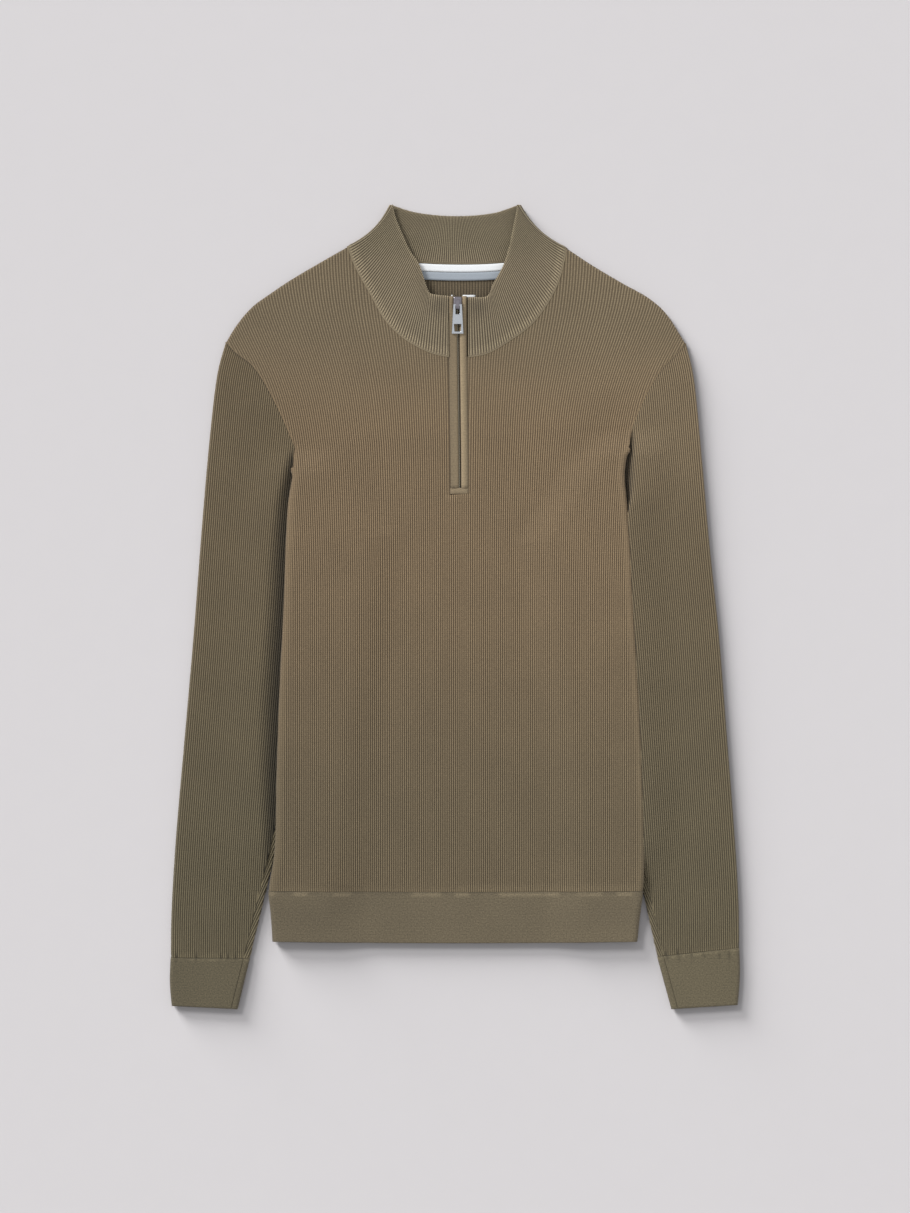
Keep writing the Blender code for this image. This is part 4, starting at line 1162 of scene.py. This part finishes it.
def knit_material(
    name, ridge_colour, shaded_furrow_colour, tints=(), course=COURSE, depth=1.0, specks=0.2, painted_side_light=0.07,
):
    """Garment dyed cotton rib knit: matt, its yarn slightly uneven, with painted shade between the ribs.

    Each tint is (y where it starts, y where it is whole, its red, green and blue), in metres and as factors.
    """
    made, tree, shader = new_material(name, 0.9)
    where = node(tree, "Attribute", attribute_name="cloth").outputs["Vector"]
    _, along, ribs = node(tree, "SeparateXYZ", {0: where}).outputs
    # Stitches: a row of slanted loops, whose slant follows the rib.
    loops = calculate(tree, "MULTIPLY", along, 1 / course)
    slant = calculate(tree, "MULTIPLY_ADD", ribs, 0.3, loops)
    wave = calculate(tree, "SINE", calculate(tree, "MULTIPLY", slant, 2 * math.pi))
    # Yarn: fine specks, and slow changes of shade.
    fine = {"Vector": where, "Scale": 0.75, "Detail": 2.0, "Roughness": 0.6}
    yarn = node(tree, "TexNoise", fine).outputs[0]
    slow = node(tree, "TexNoise", {"Vector": where, "Scale": 0.02, "Detail": 2.0}).outputs[0]
    speck = ramp(tree, yarn, 0.3, 0.7, 1 - specks, 1 + specks)
    shade = calculate(tree, "MULTIPLY", speck, ramp(tree, slow, 0.3, 0.7, 0.96, 1.04))
    shade = calculate(tree, "MULTIPLY", shade, calculate(tree, "MULTIPLY_ADD", wave, 0.10, 1.0))
    # Painted shade and highlight: the colour is darker deep in creases and hollows, where shade falls, and
    # paler on raised edges, as if lit; pale linking marks are the knit's own.
    painted_light_and_marks = node(tree, "Attribute", attribute_name="painted_light_and_marks").outputs["Fac"]
    deep = ramp(tree, painted_light_and_marks, -1.0, 0.0, 0.28, 1.0)
    cloth_and_painted_light = calculate(tree, "MULTIPLY", deep, ramp(tree, painted_light_and_marks, 0.0, 1.0, 1.0, 1.9))
    shade = calculate(tree, "MULTIPLY", shade, cloth_and_painted_light)
    # Ribs: ridge colour at 1, furrow colour at -1; the darker furrow colour is painted shade between the
    # ribs.
    rib_part = ramp(tree, ribs, -1.0, 1.0, interpolation_type="SMOOTHSTEP")
    colours = {0: rib_part, 1: srgb(shaded_furrow_colour), 2: srgb(ridge_colour)}
    colour = node(tree, "MixRGB", colours).outputs[0]
    # Painted light: the wearer's left is a little lighter and the right a little darker, as the light falls.
    # The colour also changes along the garment.
    place = node(tree, "TexCoord").outputs["Object"]
    across, height, _ = node(tree, "SeparateXYZ", {0: place}).outputs
    shade = calculate(tree, "MULTIPLY", shade, ramp(tree, across, -0.28, 0.28, 1 - painted_side_light, 1 + painted_side_light))
    for start, end, tint in tints:
        part = ramp(tree, height, start, end, interpolation_type="SMOOTHSTEP")
        tinted = node(tree, "VectorMath", {0: colour, 1: tint}, operation="MULTIPLY").outputs[0]
        colour = node(tree, "MixRGB", {0: part, 1: colour, 2: tinted}).outputs[0]
    lit = node(tree, "VectorMath", {0: colour, "Scale": shade}, operation="SCALE").outputs[0]
    dress(tree, shader, lit, 0.5 * depth, 0.0003, calculate(tree, "MULTIPLY_ADD", wave, 0.35, yarn))
    shader.inputs["Sheen Weight"].default_value = 0.12
    shader.inputs["Sheen Roughness"].default_value = 0.6
    return made


def plain_material(name, colour, roughness, metallic=0.0, scale=900.0, strength=0.1, uneven=0.05, end=None):
    """A surface with a fine grain in its colour and height. The end is (colour, y) of its upper end."""
    made, tree, shader = new_material(name, roughness, metallic)
    place = node(tree, "TexCoord").outputs["Object"]
    grain = node(tree, "TexNoise", {"Vector": place, "Scale": scale, "Detail": 3.0}).outputs[0]
    shade = ramp(tree, grain, 0.3, 0.7, 1 - uneven, 1 + uneven)
    lit = node(tree, "VectorMath", {0: srgb(colour)[:3], "Scale": shade}, operation="SCALE")
    if end:
        height = node(tree, "SeparateXYZ", {0: place}).outputs[1]
        above = ramp(tree, height, end[1] - 0.0005, end[1] + 0.0005)
        both = node(tree, "MixRGB", {0: above, 1: srgb(colour), 2: srgb(end[0])})
        tree.links.new(both.outputs[0], lit.inputs[0])
    dress(tree, shader, lit.outputs[0], strength, 0.0002, grain)
    return made


# Camera, floor and light.

VIEW_HEIGHT = 1.213     # what the camera sees from top to bottom
LENS = 100.0
SENSOR = 36.0
FLOOR_COLOUR = "b1aeaf"
FLOOR_BELOW = 0.0004    # so that the floor and the cloth's underside don't meet


def make_camera():
    camera = bpy.data.objects.new("camera", bpy.data.cameras.new("camera"))
    camera.data.lens = LENS
    camera.data.sensor_width = SENSOR
    camera.data.clip_end = 20.0
    camera.location = (0.0, 0.0, VIEW_HEIGHT * LENS / SENSOR)
    bpy.context.scene.collection.objects.link(camera)
    bpy.context.scene.camera = camera


def make_stage():
    bm = bmesh.new()
    bmesh.ops.create_grid(bm, x_segments=1, y_segments=1, size=6.0)
    bmesh.ops.translate(bm, verts=bm.verts, vec=(0, 0, -FLOOR_BELOW))
    # Painted paper: matt and all but even.
    paper = plain_material("painted paper", FLOOR_COLOUR, 0.95, scale=40.0, strength=0.0, uneven=0.004)
    floor = finish("floor", bm, paper)
    # Two lamps: strength, width in degrees and the way to it. The low one lights the floor alone, and gives
    # the object its long soft shadow.
    make_light("key", 1.9, 16, (-0.62, 0.62, 0.62))
    low = make_light("low", 11.2, 28, (-0.64, 0.75, 0.17))
    floor_only = bpy.data.collections.new("floor_only")
    floor_only.objects.link(floor)
    low.light_linking.receiver_collection = floor_only

    world = bpy.data.worlds.new("studio")
    world.use_nodes = True
    tree = world.node_tree
    # A pale room with a brighter ceiling lamp straight above, for the metal to reflect.
    way = node(tree, "TexCoord").outputs["Generated"]
    rise = node(tree, "SeparateXYZ", {0: way}).outputs[2]
    room = tree.nodes["Background"].inputs
    room["Color"].default_value = srgb("f7f8fa")
    tree.links.new(ramp(tree, rise, 0.93, 0.985, 0.60, 0.92), room["Strength"])
    bpy.context.scene.world = world
    bpy.context.scene.view_settings.view_transform = "Standard"


def make_light(name, energy, wide, way):
    light = bpy.data.objects.new(name, bpy.data.lights.new(name, "SUN"))
    light.data.energy = energy
    light.data.angle = math.radians(wide)
    light.rotation_euler = Vector(way).to_track_quat("Z", "Y").to_euler()
    bpy.context.scene.collection.objects.link(light)
    return light


def declare(piece, node_name):
    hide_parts(node_name)


def main():
    make_camera()
    make_stage()
    low = (0.10, -0.25, (0.725, 0.785, 0.80))
    knit = knit_material("garment dyed rib knit", "a28b6b", "564530", (low, (0.17, 0.30, (0.84, 0.91, 0.96))))
    low = (0.15, -0.30, (0.80, 0.865, 0.87))
    # The sleeves' knits are two copies of one knit, the left a little lighter than the right as painted
    # light; the left one is also lighter near its top.
    sleeves = {
        "right": knit_material("rib knit of the right sleeve", "8d7c5f", "483d2a", (low,), painted_side_light=0.02),
        "left": knit_material("rib knit of the left sleeve", "8f7e61", "4a3e2b",
                              (low, (0.05, 0.19, (1.26, 1.24, 1.27))), painted_side_light=0.02),
    }
    cuffs = (-0.337, -0.345, (0.87, 0.90, 0.87))
    fine = knit_material("fine rib knit", "6c614c", "6c614c", (cuffs,), 1.5, 0.5, 0.36, painted_side_light=0.10)
    points = (0.335, 0.365, (0.88, 0.90, 0.88))
    collar_look = knit_material("collar rib knit", "a39478", "463a2a", (points,), painted_side_light=0.03)
    strip = knit_material("folded jersey", "8f7e63", "8f7e63", (), 1.5, 0.4)
    woven = plain_material("polyester zip tape", "4a3e2e", 0.8, end=("f4f6f8", 0.3085))
    white = plain_material("white twill tape", "fbfdfe", 0.8)
    grey = plain_material("grey twill tape", "a8b0b8", 0.8)
    nickel = plain_material("nickel plated zinc", "c6cacf", 0.24, 1.0)
    slider = plain_material("gunmetal plated zinc", "8f8a90", 0.35, 1.0)
    tooth = plain_material("moulded acetal teeth", "a09884", 0.45)
    declare(make_panel("front", knit), "front")
    declare(make_panel("back", knit), "back")
    for piece in ("front", "back"):
        declare(make_hem(piece, fine), "hem_rib_" + piece)
    for side in SIDES:
        sleeve = make_sleeve(side, sleeves[side])
        declare(sleeve, "sleeve_" + side)
        declare(make_cuff(side, fine), "cuff_" + side)
        declare(make_placket(side, strip), "placket_" + side)
        declare(make_zip_tape(side, woven), "zip_tape_" + side)
    declare(make_collar(collar_look), "collar")
    declare(make_placket_end(strip), "placket_end")
    teeth = make_teeth(tooth)
    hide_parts("zip_chain")
    for shade, look, long in (("white", white, 0.135), ("grey", grey, 0.125)):
        name = "neck_tape_" + shade
        declare(make_neck_tape(name, look), name)
    for name, look in (("zip_slider", slider), ("zip_pull_tab", nickel)):
        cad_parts[name].data.materials.clear()
        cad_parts[name].data.materials.append(look)


main()
